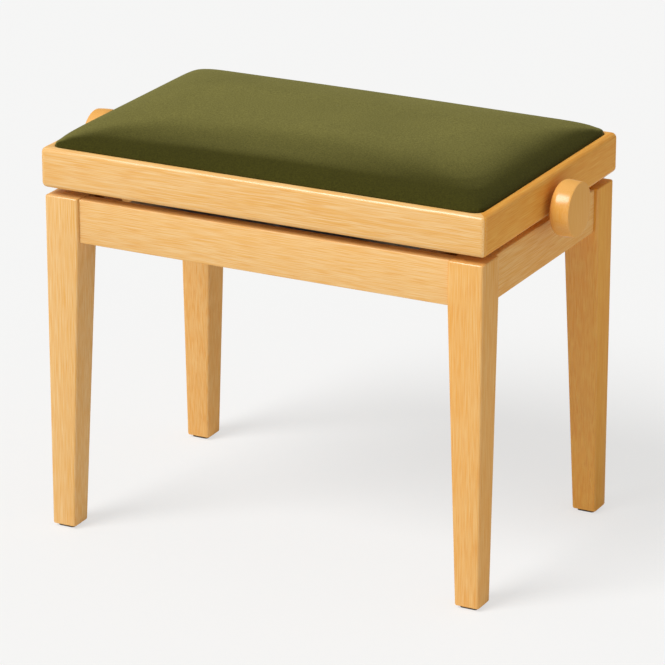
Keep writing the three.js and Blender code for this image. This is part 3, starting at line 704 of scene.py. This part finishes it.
class BENCH_OT_aprons(BenchOperator, bpy.types.Operator):
    """Four aprons with a tenon at each end, their long edges rounded"""

    bl_idname = "piano_bench.aprons"
    bl_label = "Aprons"
    # The front apron, facing the light, is paler than the others: partly painted shade on them.
    boards = {"front": "pale", "back": "warm", "left": "warm", "right": "warm"}

    def execute(self, context):
        sizes = context.scene.bench_sizes
        front = self.apron(sizes, "front_apron", "apron_front", X)
        back = mirrored(front, "front", "back")
        left = self.apron(sizes, "left_apron", "apron_left", Y)
        right = mirrored(left, "left", "right")
        finish_boards((front, back, left, right), "base", "apron", self.boards)
        return {"FINISHED"}

    def apron(self, sizes, name, node, axis):
        low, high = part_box(node)
        shoulder = -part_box("leg_front_left")[1][axis] - sizes.shoulder_gap
        start, end = low.copy(), high.copy()
        start[axis], end[axis] = -shoulder, shoulder
        apron = add_box(name, start, end)
        inset = ((end - start)[1 - axis] - sizes.tenon_thickness) / 2
        height = end.z - start.z
        tall = (height - 2 * sizes.tenon_shoulder) / (height - 2 * inset)
        for side in SIDES.values():
            pick(apron, "FACE", lambda face: face.normal[axis] * side > ALIGNED)
            bpy.ops.mesh.inset(thickness=inset, depth=0)
            bpy.ops.transform.resize(value=(1, 1, tall))
            bpy.ops.mesh.extrude_region_move(TRANSFORM_OT_translate={
                "value": ALONG[axis] * side * (high[axis] - shoulder)})
        round_edges(apron, lambda edge: runs_along(edge, axis)
                    and abs(middle(edge)[axis]) < shoulder / 2, sizes.apron_edge, 3)
        return apron


class BENCH_OT_corner_braces(BenchOperator, bpy.types.Operator):
    """Braces sawn from a bar and set across the inside corners"""

    bl_idname = "piano_bench.corner_braces"
    bl_label = "Corner braces"

    def execute(self, context):
        sizes = context.scene.bench_sizes
        node = "corner_brace_front_left"
        low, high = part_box(node)
        reach, centre = high.x - low.x, centre_of(node)
        half = self.half_width(NODES[node], low)
        bar = add_box("front_left_brace", (-reach, -half, low.z), (reach, half, high.z))
        outwards = half / math.sqrt(2)
        bar.rotation_euler.z = -math.pi / 4
        bar.location = (centre.x - outwards, centre.y - outwards, 0)
        settle(bar)
        slice_off(bar, low, -ALONG[X])
        slice_off(bar, low, -ALONG[Y])
        round_edges(bar, lambda edge: not runs_along(edge, Z), sizes.brace_edge, 2)
        for place, flip, piece in at_corners(bar):
            turn = math.copysign(math.pi / 4, flip.x * flip.y)
            # The braces' dark tint is painted shade for the gap under the seat frame.
            finish_piece(piece, "base", "beech", f"corner_brace_{place}",
                         beech("lengthwise", "heart", turn))
        return {"FINISHED"}

    def half_width(self, node, low):
        """Half the bar's width, from where the brace's two long faces meet the apron."""
        along = sorted({round(v.co.x, 5) for v in node.data.vertices if v.co.y < low.y + NEAR})
        return (along[-1] - along[0]) / math.sqrt(2) / 2


class BENCH_OT_seat_frame(BenchOperator, bpy.types.Operator):
    """The seat frame: one ring is shaped, then sawn into four rails at its mitres"""

    bl_idname = "piano_bench.seat_frame"
    bl_label = "Seat frame"
    # The right rail, on the side away from the light, is deepest: partly painted shade.
    boards = {"front": "pale", "back": "warm", "left": "warm", "right": "deep"}

    def execute(self, context):
        sizes = context.scene.bench_sizes
        ring, high = self.ring(sizes)
        shift = sizes.mitre_gap / math.sqrt(2)
        skew = high.x - high.y
        front, left = copied(ring, "front_rail"), copied(ring, "left_rail")
        bpy.data.objects.remove(ring)
        for side in SIDES.values():
            slice_off(front, (side * (skew - shift), 0, 0), (side, 1, 0))
            slice_off(left, (-skew - shift, 0, 0), (1, side, 0))
        back = mirrored(front, "front", "back")
        self.drill(left, sizes)
        right = mirrored(left, "left", "right")
        finish_boards((front, back, left, right), "seat", "seat_rail", self.boards)
        return {"FINISHED"}

    def ring(self, sizes):
        """The frame's outside, with its opening and its rebate for board and cushion."""
        left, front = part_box("seat_rail_left"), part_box("seat_rail_front")
        high = Vector((-left[0].x, -front[0].y, front[1].z))
        ring = add_box("seat_frame", (-high.x, -high.y, front[0].z), high)
        round_edges(ring, lambda edge: True, sizes.rail_edge, 5)
        opening = add_box("opening", (left[1].x, front[1].y, 0),
                          (-left[1].x, -front[1].y, 2 * high.z))
        lip = Vector((high.x - sizes.side_lip, high.y - sizes.front_lip, 2 * high.z))
        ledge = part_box("seat_board")[0].z - sizes.fit_gap
        rebate = add_box("rebate", (-lip.x, -lip.y, ledge), lip)
        round_edges(rebate, lambda edge: runs_along(edge, Z), sizes.rebate_corner, 8)
        carve(ring, opening, rebate)

        def on_lip(edge):
            return (all(corner.co.z > high.z - NEAR for corner in edge.verts)
                    and abs(middle(edge).x) < lip.x + NEAR
                    and abs(middle(edge).y) < lip.y + NEAR)

        round_edges(ring, on_lip, sizes.lip_edge, 3)
        return ring, high

    def drill(self, rail, sizes):
        """The spindle's bore, and the holes for the screws that hold the board."""
        low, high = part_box("seat_rail_left")
        height = centre_of("spindle_rod").z
        carve(rail, add_rod("bore", (low.x - 2 * BEYOND, 0, height),
                            (high.x + 2 * BEYOND, 0, height), sizes.bush_hole))
        for place in ("front_left", "back_left"):
            x, y, _ = centre_of(f"board_screw_{place}")
            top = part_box(f"board_screw_{place}")[1].z
            shank = add_rod("shank", (x, y, low.z - BEYOND), (x, y, top),
                            sizes.screw + sizes.fit_gap, 24)
            only(None)
            head = sizes.screw_head + sizes.fit_gap
            bpy.ops.mesh.primitive_cone_add(vertices=24, radius1=2 * head, radius2=0,
                                            depth=2 * head, location=(x, y, low.z))
            carve(rail, shank, named("countersink"))


class BENCH_OT_seat_board(BenchOperator, bpy.types.Operator):
    """The plywood board that carries the cushion"""

    bl_idname = "piano_bench.seat_board"
    bl_label = "Seat board"

    def execute(self, context):
        sizes = context.scene.bench_sizes
        board = add_box("cushion_board", *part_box("seat_board"))
        round_edges(board, lambda edge: runs_along(edge, Z), sizes.rebate_corner, 8)
        break_edges(board, sizes.fine_edge)
        finish_piece(board, "seat", "plywood", "seat_board")
        return {"FINISHED"}


class BENCH_OT_cushion(BenchOperator, bpy.types.Operator):
    """The cushion: foam under velvet, swelled over the lip of the seat frame"""

    bl_idname = "piano_bench.cushion"
    bl_label = "Cushion"
    frames, first_rounds, crown_rounds = 20, 3, 14
    cloth = {"quality": 6, "mass": 0.3, "tension_stiffness": 20, "compression_stiffness": 20,
             "shear_stiffness": 8, "bending_stiffness": 4, "use_pressure": True,
             "vertex_group_mass": "held"}

    def execute(self, context):
        sizes = context.scene.bench_sizes
        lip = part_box("seat_rail_front")[1].z
        pad = copied(NODES["cushion"], "velvet_cushion")
        pad.parent = None
        for key in list(pad.keys()):
            del pad[key]
        turn_out(pad)
        modify(pad, "REMESH", mode="VOXEL", voxel_size=sizes.cover_mesh, use_smooth_shade=True)
        modify(pad, "SMOOTH", factor=0.5, iterations=self.first_rounds)
        self.swell(pad, lip, sizes)
        above = lip + sizes.cover_mesh
        crown = pad.vertex_groups.new(name="crown")
        crown.add([v.index for v in pad.data.vertices if v.co.z > above], 1.0, "REPLACE")
        modify(pad, "SMOOTH", factor=0.5, iterations=self.crown_rounds,
               vertex_group="crown")
        pad.vertex_groups.clear()
        self.press_on_lip(pad, lip, sizes)
        modify(pad, "SUBSURF", levels=1, render_levels=1)
        finish_piece(pad, "seat", "velvet", "cushion", smooth=60)
        return {"FINISHED"}

    def swell(self, pad, lip, sizes):
        """Blows the cover up over its foam, held below the lip, and moves no point too far."""
        only(pad)
        scene = bpy.context.scene
        start = [corner.co.copy() for corner in pad.data.vertices]
        held = pad.vertex_groups.new(name="held")
        for n, place in enumerate(start):
            held.add([n], 1.0 if place.z < lip else sizes.foam_hold, "REPLACE")
        bpy.ops.object.modifier_add(type="CLOTH")
        modifier = pad.modifiers[-1]
        for name, value in self.cloth.items():
            setattr(modifier.settings, name, value)
        modifier.settings.uniform_pressure_force = sizes.pressure
        modifier.settings.effector_weights.gravity = 0
        modifier.point_cache.frame_start, modifier.point_cache.frame_end = 1, self.frames
        for frame_number in range(1, self.frames + 1):
            scene.frame_set(frame_number)
        bpy.ops.object.modifier_apply(modifier=modifier.name)
        scene.frame_set(1)
        for corner, place in zip(pad.data.vertices, start):
            move = corner.co - place
            if move.length > sizes.most_swelling:
                corner.co = place + move * (sizes.most_swelling / move.length)
        pad.vertex_groups.clear()

    def press_on_lip(self, pad, lip, sizes):
        """Lets the cover stand out a little over the lip."""
        inside = (-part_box("seat_rail_left")[0].x - sizes.side_lip,
                  -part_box("seat_rail_front")[0].y - sizes.front_lip)
        grown = [(inside[axis] + sizes.overhang)
                 / max(abs(corner.co[axis]) for corner in pad.data.vertices) for axis in (X, Y)]
        pick(pad, "VERT", lambda corner: corner.co.z > lip + NEAR)
        bpy.ops.transform.resize(value=(*grown, 1), center_override=(0, 0, lip))


class BENCH_OT_knobs(BenchOperator, bpy.types.Operator):
    """Turned knobs with a flat face, a slightly barrelled rim and a well rounded back"""

    bl_idname = "piano_bench.knobs"
    bl_label = "Knobs"
    rim_steps, rim_start = 6, 1.02  # the rim starts just behind the rounding of the back

    def execute(self, context):
        sizes = context.scene.bench_sizes
        low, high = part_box("knob_right")
        centre = centre_of("knob_right")
        widest, thick = (high.y - low.y) / 2, high.x - low.x
        bore = sizes.journal + sizes.fit_gap
        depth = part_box("spindle_rod")[1].x + sizes.fit_gap - low.x
        profile = [(depth, 0), (depth, bore), (0, bore), (0, widest)]
        start = sizes.knob_back_edge * self.rim_start
        for step in range(self.rim_steps + 1):
            share = step / self.rim_steps
            profile.append((start + (thick - start) * share,
                            widest - sizes.knob_taper * share ** 2))
        profile.append((thick, 0))
        knob = turned("right_knob", profile, (low.x, centre.y, centre.z), ALONG[X], 96)
        self.round_rim(knob, low.x, widest, centre, sizes.knob_back_edge, 10)
        self.round_rim(knob, high.x, widest - sizes.knob_taper, centre, sizes.knob_face_edge, 3)
        finish_twins(knob, "spindle", "beech", "knob_right", "right", "left", smooth=40,
                     material=beech("upright", "amber", figure=0.6))
        return {"FINISHED"}

    def round_rim(self, knob, x, radius, centre, edge_radius, segments):
        def on_rim(edge):
            return all(
                abs(corner.co.x - x) < NEAR and
                abs((corner.co - centre).yz.length - radius) < 5 * NEAR for corner in edge.verts)

        round_edges(knob, on_rim, edge_radius, segments)


class BENCH_OT_spindle(BenchOperator, bpy.types.Operator):
    """The spindle with its thread, its thrust collars and the bushes that it runs in"""

    bl_idname = "piano_bench.spindle"
    bl_label = "Spindle"
    root_width, crest_width = 0.8, 0.2  # shares of the pitch
    sunk = 0.0002  # how deep the thread's ridge stands in the core

    def execute(self, context):
        sizes = context.scene.bench_sizes
        low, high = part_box("spindle_rod")
        height = centre_of("spindle_rod").z
        thick, thin = (high.z - low.z) / 2, sizes.journal
        step = -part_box("seat_rail_left")[1].x - sizes.journal_length
        first, last = centre_of("nut_bar").x - sizes.thread_reach, step - sizes.thread_end
        core = thick - sizes.thread_depth
        spindle = turned("threaded_spindle", [
            (low.x, 0), (low.x, thin), (-step, thin), (-step, thick), (first, thick),
            (first, core), (last, core), (last, thick), (step, thick), (step, thin),
            (high.x, thin), (high.x, 0)], (0, 0, height), ALONG[X])
        break_edges(spindle, sizes.steel_edge, 1)
        carve(spindle, self.thread(sizes, first, last, core, thick, height), way="UNION")
        finish_piece(spindle, "spindle", "bright_steel", "spindle_rod")
        for side in SIDES:
            node = f"thrust_collar_{side}"
            collar = turned_ring(f"{side}_collar", node, X, thick + sizes.fit_gap)
            finish_piece(break_edges(collar, sizes.steel_edge), "spindle", "bright_steel", node)
            self.bush(sizes, side, height)
        return {"FINISHED"}

    def thread(self, sizes, first, last, core, thick, height):
        """A ridge wound round the spindle's core."""
        only(None)
        half = sizes.thread_pitch / 2 * self.root_width
        crest = sizes.thread_pitch / 2 * self.crest_width
        bpy.ops.mesh.primitive_plane_add(size=1, location=(first + half, 0, height))
        ridge = named("thread")
        root = core - self.sunk
        section = [(-half, root), (half, root), (-crest, thick), (crest, thick)]
        for corner, (x, radius) in zip(ridge.data.vertices, section):
            corner.co = (first + half + x, 0, height + radius)
        pick(ridge, "FACE")
        bpy.ops.mesh.delete(type="ONLY_FACE")
        axis = add_object("thread_axis")
        axis.location = (0, 0, height)
        bpy.context.view_layer.update()
        modify(ridge, "SCREW", axis="X", angle=2 * math.pi, screw_offset=sizes.thread_pitch,
               iterations=int((last - first - 2 * half) / sizes.thread_pitch), steps=24,
               render_steps=24, object=axis, use_merge_vertices=False)
        bpy.data.objects.remove(axis)
        pick(ridge, "EDGE", lambda edge: edge.is_boundary)
        bpy.ops.mesh.fill()
        return turn_out(ridge)

    def bush(self, sizes, side, height):
        node, sign = f"spindle_bush_{side}", SIDES[side]
        low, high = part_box(node)
        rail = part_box(f"seat_rail_{side}")
        start, tip = (rail[0].x, high.x) if sign > 0 else (rail[1].x, low.x)
        end = abs(tip - start)
        face = end - sizes.bush_flange
        bore, flange = sizes.journal + sizes.fit_gap, (high.z - low.z) / 2
        bush = turned(f"{side}_bush", [
            (0, bore), (0, sizes.bush), (face, sizes.bush), (face, flange), (end, flange),
            (end, bore), (0, bore)], (start, 0, height), ALONG[X] * sign)
        finish_piece(break_edges(bush, sizes.steel_edge), "seat", "nylon", node)


class BENCH_OT_channels(BenchOperator, bpy.types.Operator):
    """Four steel channels, folded from strip"""

    bl_idname = "piano_bench.channels"
    bl_label = "Channels"

    def execute(self, context):
        sizes = context.scene.bench_sizes
        pivot = centre_of("lower_pivot_rod")
        for level, body, height, axis in (("lower", "base", pivot.z, Y),
                                          ("upper", "seat", centre_of("spindle_rod").z, Z)):
            node = f"{level}_channel_front"
            low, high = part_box(node)
            channel = self.folded(sizes, f"front_{level}_channel", node)
            near = Vector((pivot.x, low.y, height))
            carve(channel, hole(near, ALONG[Y] * 2 * BEYOND, sizes.bar + sizes.fit_gap))
            for side in SIDES:
                near = centre_of(f"{level}_channel_screw_front_{side}")
                near[axis] = low.y if axis == Y else high.z
                carve(channel, hole(near, ALONG[axis] * 2 * BEYOND,
                                    sizes.screw + sizes.fit_gap, 24))
            break_edges(channel, sizes.steel_edge / 2, 1)
            finish_twins(channel, body, "zinc_steel", node)
        return {"FINISHED"}

    def folded(self, sizes, name, node):
        """A strip with its two long edges folded inwards, then given its thickness."""
        low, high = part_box(node)
        centre = centre_of(node)
        only(None)
        bpy.ops.mesh.primitive_plane_add(size=1, rotation=(math.pi / 2, 0, 0),
                                         location=(centre.x, low.y, centre.z))
        bpy.context.object.scale = (high.x - low.x, high.z - low.z, 1)
        strip = named(name)

        def at_bend(edge):
            return runs_along(edge, X) and abs(middle(edge).y - low.y) < NEAR

        for height in (low.z, high.z):
            pick(strip, "EDGE",
                 lambda edge: at_bend(edge) and abs(middle(edge).z - height) < NEAR)
            bpy.ops.mesh.extrude_edges_move(
                TRANSFORM_OT_translate={"value": ALONG[Y] * (high.y - low.y)})
        round_edges(strip, at_bend, sizes.channel_bend, 4)
        pick(strip, "FACE")
        bpy.ops.mesh.normals_make_consistent(inside=False)
        faces = bmesh.from_edit_mesh(strip.data).faces
        web = next(face for face in faces if abs(face.normal.y) > ALIGNED)
        offset = math.copysign(1.0, web.normal.y)
        modify(strip, "SOLIDIFY", thickness=sizes.steel, offset=offset, use_even_offset=True)
        return turn_out(strip)


class BENCH_OT_cross_bars(BenchOperator, bpy.types.Operator):
    """Two plain rods, and two bars with a block in the middle that the spindle goes through"""

    bl_idname = "piano_bench.cross_bars"
    bl_label = "Cross bars"

    def execute(self, context):
        sizes = context.scene.bench_sizes
        for name, node, body in (("lower_rod", "lower_pivot_rod", "base"),
                                 ("sliding_rod", "slide_rod", "inner_arms")):
            finish_piece(self.rod(sizes, name, node), body, "bright_steel", node)
        for name, node, body, bore in (
                ("fixed_cross_bar", "upper_pivot_bar", "seat", sizes.block_bore),
                ("nut_cross_bar", "nut_bar", "nut", sizes.nut_bore)):
            bar = self.rod(sizes, name, node)
            low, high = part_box(node)
            height = centre_of(node).z
            block = add_box("block", (low.x, -sizes.block, low.z), (high.x, sizes.block, high.z))
            round_edges(block, lambda edge: True, sizes.block_edge, 2)
            carve(bar, block, way="UNION")
            carve(bar, add_rod("bore", (low.x - BEYOND, 0, height), (high.x + BEYOND, 0, height),
                               bore))
            finish_piece(bar, body, "zinc_steel", node)
        return {"FINISHED"}

    def rod(self, sizes, name, node):
        low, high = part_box(node)
        x, _, z = centre_of(node)
        rod = add_rod(name, (x, low.y, z), (x, high.y, z), sizes.bar)
        return break_edges(rod, sizes.steel_edge * 2)


class BENCH_OT_arms(BenchOperator, bpy.types.Operator):
    """Flat arms that cross at a pin, in pairs at the front and back"""

    bl_idname = "piano_bench.arms"
    bl_label = "Arms"

    def execute(self, context):
        sizes = context.scene.bench_sizes
        start, end = centre_of("lower_pivot_rod"), centre_of("slide_rod")
        top = centre_of("spindle_rod").z
        reach = math.hypot(end.x - start.x, top - start.z)
        tilt = math.asin((top - start.z) / reach)
        for kind, turn, height, pin_hole in (("outer", -tilt, start.z, sizes.outer_pin_hole),
                                             ("inner", tilt, top, sizes.inner_pin_hole)):
            node = f"{kind}_arm_front"
            arm = self.flat(sizes, f"front_{kind}_arm", reach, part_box(node), pin_hole)
            arm.rotation_euler.y = turn
            arm.location = (start.x, 0, height)
            settle(arm)
            finish_twins(arm, f"{kind}_arms", "zinc_steel", node)
        self.pins(sizes)
        return {"FINISHED"}

    def flat(self, sizes, name, reach, box, pin_hole):
        """An arm that lies along X, with a bar's hole at each end and the pin's between."""
        near, far = box[0].y, box[1].y
        half = sizes.arm_width / 2
        arm = add_box(name, (-half, near, -half), (reach + half, far, half))
        round_edges(arm, lambda edge: runs_along(edge, Y), half - NEAR, 12)
        bar_hole = sizes.bar + sizes.fit_gap
        for x, radius in ((0, bar_hole), (reach / 2, pin_hole), (reach, bar_hole)):
            carve(arm, add_rod("hole", (x, near - BEYOND, 0), (x, far + BEYOND, 0), radius))
        return break_edges(arm, sizes.steel_edge, 1)

    def pins(self, sizes):
        low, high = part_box("centre_pin_front")
        x, _, z = centre_of("centre_pin_front")
        head, shank, end = (high.x - low.x) / 2, sizes.pin, high.y - low.y
        first, last = sizes.pin_head, end - sizes.pin_head
        pin = turned("front_centre_pin", [
            (0, 0), (0, head), (first, head), (first, shank), (last, shank), (last, head),
            (end, head), (end, 0)], (x, low.y, z), ALONG[Y], 40)
        break_edges(pin, sizes.turned_edge)
        finish_twins(pin, "outer_arms", "bright_steel", "centre_pin_front")


class BENCH_OT_sleeves(BenchOperator, bpy.types.Operator):
    """Nylon sleeves that run in the channels"""

    bl_idname = "piano_bench.sleeves"
    bl_label = "Sleeves"

    def execute(self, context):
        sizes = context.scene.bench_sizes
        first = "nut_bar_sleeve_front"
        sleeve = turned_ring("sleeve", first, Y, sizes.bar + sizes.fit_gap)
        break_edges(sleeve, sizes.turned_edge)
        for kind, body in (("nut_bar", "nut"), ("slide_rod", "inner_arms")):
            for depth in DEPTHS:
                node = f"{kind}_sleeve_{depth}"
                move = Matrix.Translation(centre_of(node) - centre_of(first))
                finish_piece(copied(sleeve, f"{depth}_{kind}_roller", move), body, "nylon", node)
        bpy.data.objects.remove(sleeve)
        return {"FINISHED"}


class BENCH_OT_screws(BenchOperator, bpy.types.Operator):
    """Pan-head screws in the channels and countersunk screws under the seat frame"""

    bl_idname = "piano_bench.screws"
    bl_label = "Screws"
    dome = (1, 0.55), (0.75, 0.85), (0.3, 1)  # shares of a pan head's height and radius

    def execute(self, context):
        sizes = context.scene.bench_sizes
        head, shank, cap = sizes.screw_head, sizes.screw, sizes.screw_cap
        low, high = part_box("upper_channel_screw_front_left")
        end = high.z - low.z - cap
        pan = self.screw(sizes, "pan_screw", -cap, [
            (-cap, 0), *((-cap * up, head * out) for up, out in self.dome), (0, head),
            (0, shank), (end - shank, shank), (end, 0)])
        for level, body in (("lower", "base"), ("upper", "seat")):
            for place, flip in PLACES:
                node = f"{level}_channel_screw_{place}"
                low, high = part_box(node)
                there, turn = centre_of(node), Matrix.Identity(4)
                if level == "lower":
                    turn = Matrix.Rotation(-flip.y * math.pi / 2, 4, "X")
                    there.y = low.y + cap if flip.y > 0 else high.y - cap
                else:
                    there.z = low.z + cap
                piece = copied(pan, f"{place}_{level}_screw", Matrix.Translation(there) @ turn)
                finish_piece(piece, body, "bright_steel", node)
        low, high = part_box("board_screw_front_left")
        end = high.z - low.z
        sunk = self.screw(sizes, "sunk_screw", 0, [
            (0, 0), (0, head), (head - shank, shank), (end - shank, shank), (end, 0)])
        for place, _ in PLACES:
            node = f"board_screw_{place}"
            there = centre_of(node)
            there.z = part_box(node)[0].z
            piece = copied(sunk, f"{place}_board_screw", Matrix.Translation(there))
            finish_piece(piece, "seat", "bright_steel", node)
        for pattern in (pan, sunk):
            bpy.data.objects.remove(pattern)
        return {"FINISHED"}

    def screw(self, sizes, name, top, profile):
        """A screw that points up, with a cross recess in its head."""
        screw = turned(name, profile, (0, 0, 0), ALONG[Z], 32)
        reach, half = sizes.recess, sizes.recess_width
        for x, y in ((reach, half), (half, reach)):
            carve(screw, add_box("slot", (-x, -y, top - sizes.recess_depth),
                                 (x, y, top + sizes.recess_depth)))
        return screw


class BENCH_OT_stage(BenchOperator, bpy.types.Operator):
    """Floor, surroundings, lights and camera"""

    bl_idname = "piano_bench.stage"
    bl_label = "Stage"
    glow_strength, lamp_distance, far = 1.01, 4.0, 100.0
    film = 36.0  # width in millimetres

    def execute(self, context):
        scene, stage = context.scene, context.scene.bench_stage
        self.floor(scene, stage)
        self.surroundings(scene, stage)
        self.key_light(stage)
        self.camera(scene, stage)
        scene.view_settings.view_transform = "Standard"
        return {"FINISHED"}

    def floor(self, scene, stage):
        only(None)
        bpy.ops.mesh.primitive_plane_add(size=stage.floor_size, location=(0, 0, 0))
        floor = named("studio_floor")
        material, tree = blank_material("pale_floor")
        pale = scene.bench_finishes.floor
        tone = two_tone(tree, noise(tree, coordinates(tree), 1.5), pale, 0.995)
        matt = add_node(tree, "BsdfDiffuse", {"Color": tone})
        glow = add_node(tree, "Emission", {"Color": rgba(pale), "Strength": self.glow_strength})
        self.seen_as(tree, "OutputMaterial", matt, glow, stage.floor_glow)
        floor.data.materials.append(material)

    def seen_as(self, tree, output, plain, seen, share):
        """Mixes in a share of the second shader where the camera sees directly, or in a gloss."""
        path = add_node(tree, "LightPath").outputs
        direct = path["Is Camera Ray"]
        for kind in ("Is Glossy Ray", "Is Transmission Ray"):
            direct = calculate(tree, "MAXIMUM", direct, path[kind])
        mixed = add_node(tree, "MixShader", {0: calculate(tree, "MULTIPLY", direct, share),
                                             1: plain.outputs[0], 2: seen.outputs[0]})
        add_node(tree, output, {"Surface": mixed.outputs[0]})

    def surroundings(self, scene, stage):
        """Even light from all round, that is seen as pale as the floor."""
        scene.world = bpy.data.worlds.new("studio")
        scene.world.use_nodes = True
        tree = scene.world.node_tree
        tree.nodes.clear()
        light = add_node(tree, "Background",
                         {"Color": rgba((1, 1, 1)), "Strength": stage.ambient})
        pale = add_node(tree, "Background",
                        {"Color": rgba(scene.bench_finishes.floor), "Strength": 1.0})
        self.seen_as(tree, "OutputWorld", light, pale, 1.0)

    def key_light(self, stage):
        way = self.direction(stage.key_azimuth, stage.key_elevation)
        lamp = bpy.data.lights.new("key_light", "SUN")
        lamp.energy, lamp.angle = stage.key_strength, stage.key_spread
        key = add_object("key_light", lamp)
        key.location = way * self.lamp_distance
        key.rotation_euler = way.to_track_quat("Z", "Y").to_euler()

    def camera(self, scene, stage):
        back = self.direction(stage.azimuth, stage.elevation)
        lens = bpy.data.cameras.new("camera")
        lens.lens, lens.sensor_width, lens.clip_end = stage.lens, self.film, self.far
        camera = add_object("camera", lens)
        camera.location = Vector(stage.target) + back * stage.distance
        camera.rotation_euler = (-back).to_track_quat("-Z", "Y").to_euler()
        scene.camera = camera

    def direction(self, azimuth, elevation):
        """Towards the viewer at an azimuth from the front and an elevation."""
        return Vector((math.sin(azimuth) * math.cos(elevation),
                       -math.cos(azimuth) * math.cos(elevation), math.sin(elevation)))


OPERATORS = (
    BENCH_OT_legs, BENCH_OT_foot_glides, BENCH_OT_aprons, BENCH_OT_corner_braces,
    BENCH_OT_seat_frame, BENCH_OT_seat_board, BENCH_OT_cushion, BENCH_OT_knobs,
    BENCH_OT_spindle, BENCH_OT_channels, BENCH_OT_cross_bars, BENCH_OT_arms, BENCH_OT_sleeves,
    BENCH_OT_screws, BENCH_OT_stage,
)
GROUPS = {"bench_sizes": BenchSizes, "bench_finishes": BenchFinishes, "bench_stage": BenchStage}


class BENCH_PT_panel(bpy.types.Panel):
    """Lists the bench's pieces, sizes and colours"""

    bl_idname = "BENCH_PT_panel"
    bl_label = "Piano Bench"
    bl_space_type = "VIEW_3D"
    bl_region_type = "UI"
    bl_category = "Piano Bench"

    def draw(self, context):
        for operator in OPERATORS:
            self.layout.operator(operator.bl_idname)
        for name in GROUPS:
            box, group = self.layout.box(), getattr(context.scene, name)
            for size in group.__annotations__:
                box.prop(group, size)


def register():
    for name, group in GROUPS.items():
        bpy.utils.register_class(group)
        setattr(bpy.types.Scene, name, PointerProperty(type=group))
    for kind in (*OPERATORS, BENCH_PT_panel):
        bpy.utils.register_class(kind)


def unregister():
    for kind in reversed((*OPERATORS, BENCH_PT_panel)):
        bpy.utils.unregister_class(kind)
    for name, group in GROUPS.items():
        delattr(bpy.types.Scene, name)
        bpy.utils.unregister_class(group)


def main():
    register()
    for operator in OPERATORS:
        getattr(bpy.ops.piano_bench, operator.bl_idname.split(".")[1])()
    only(None)


if __name__ == "__main__":
    main()
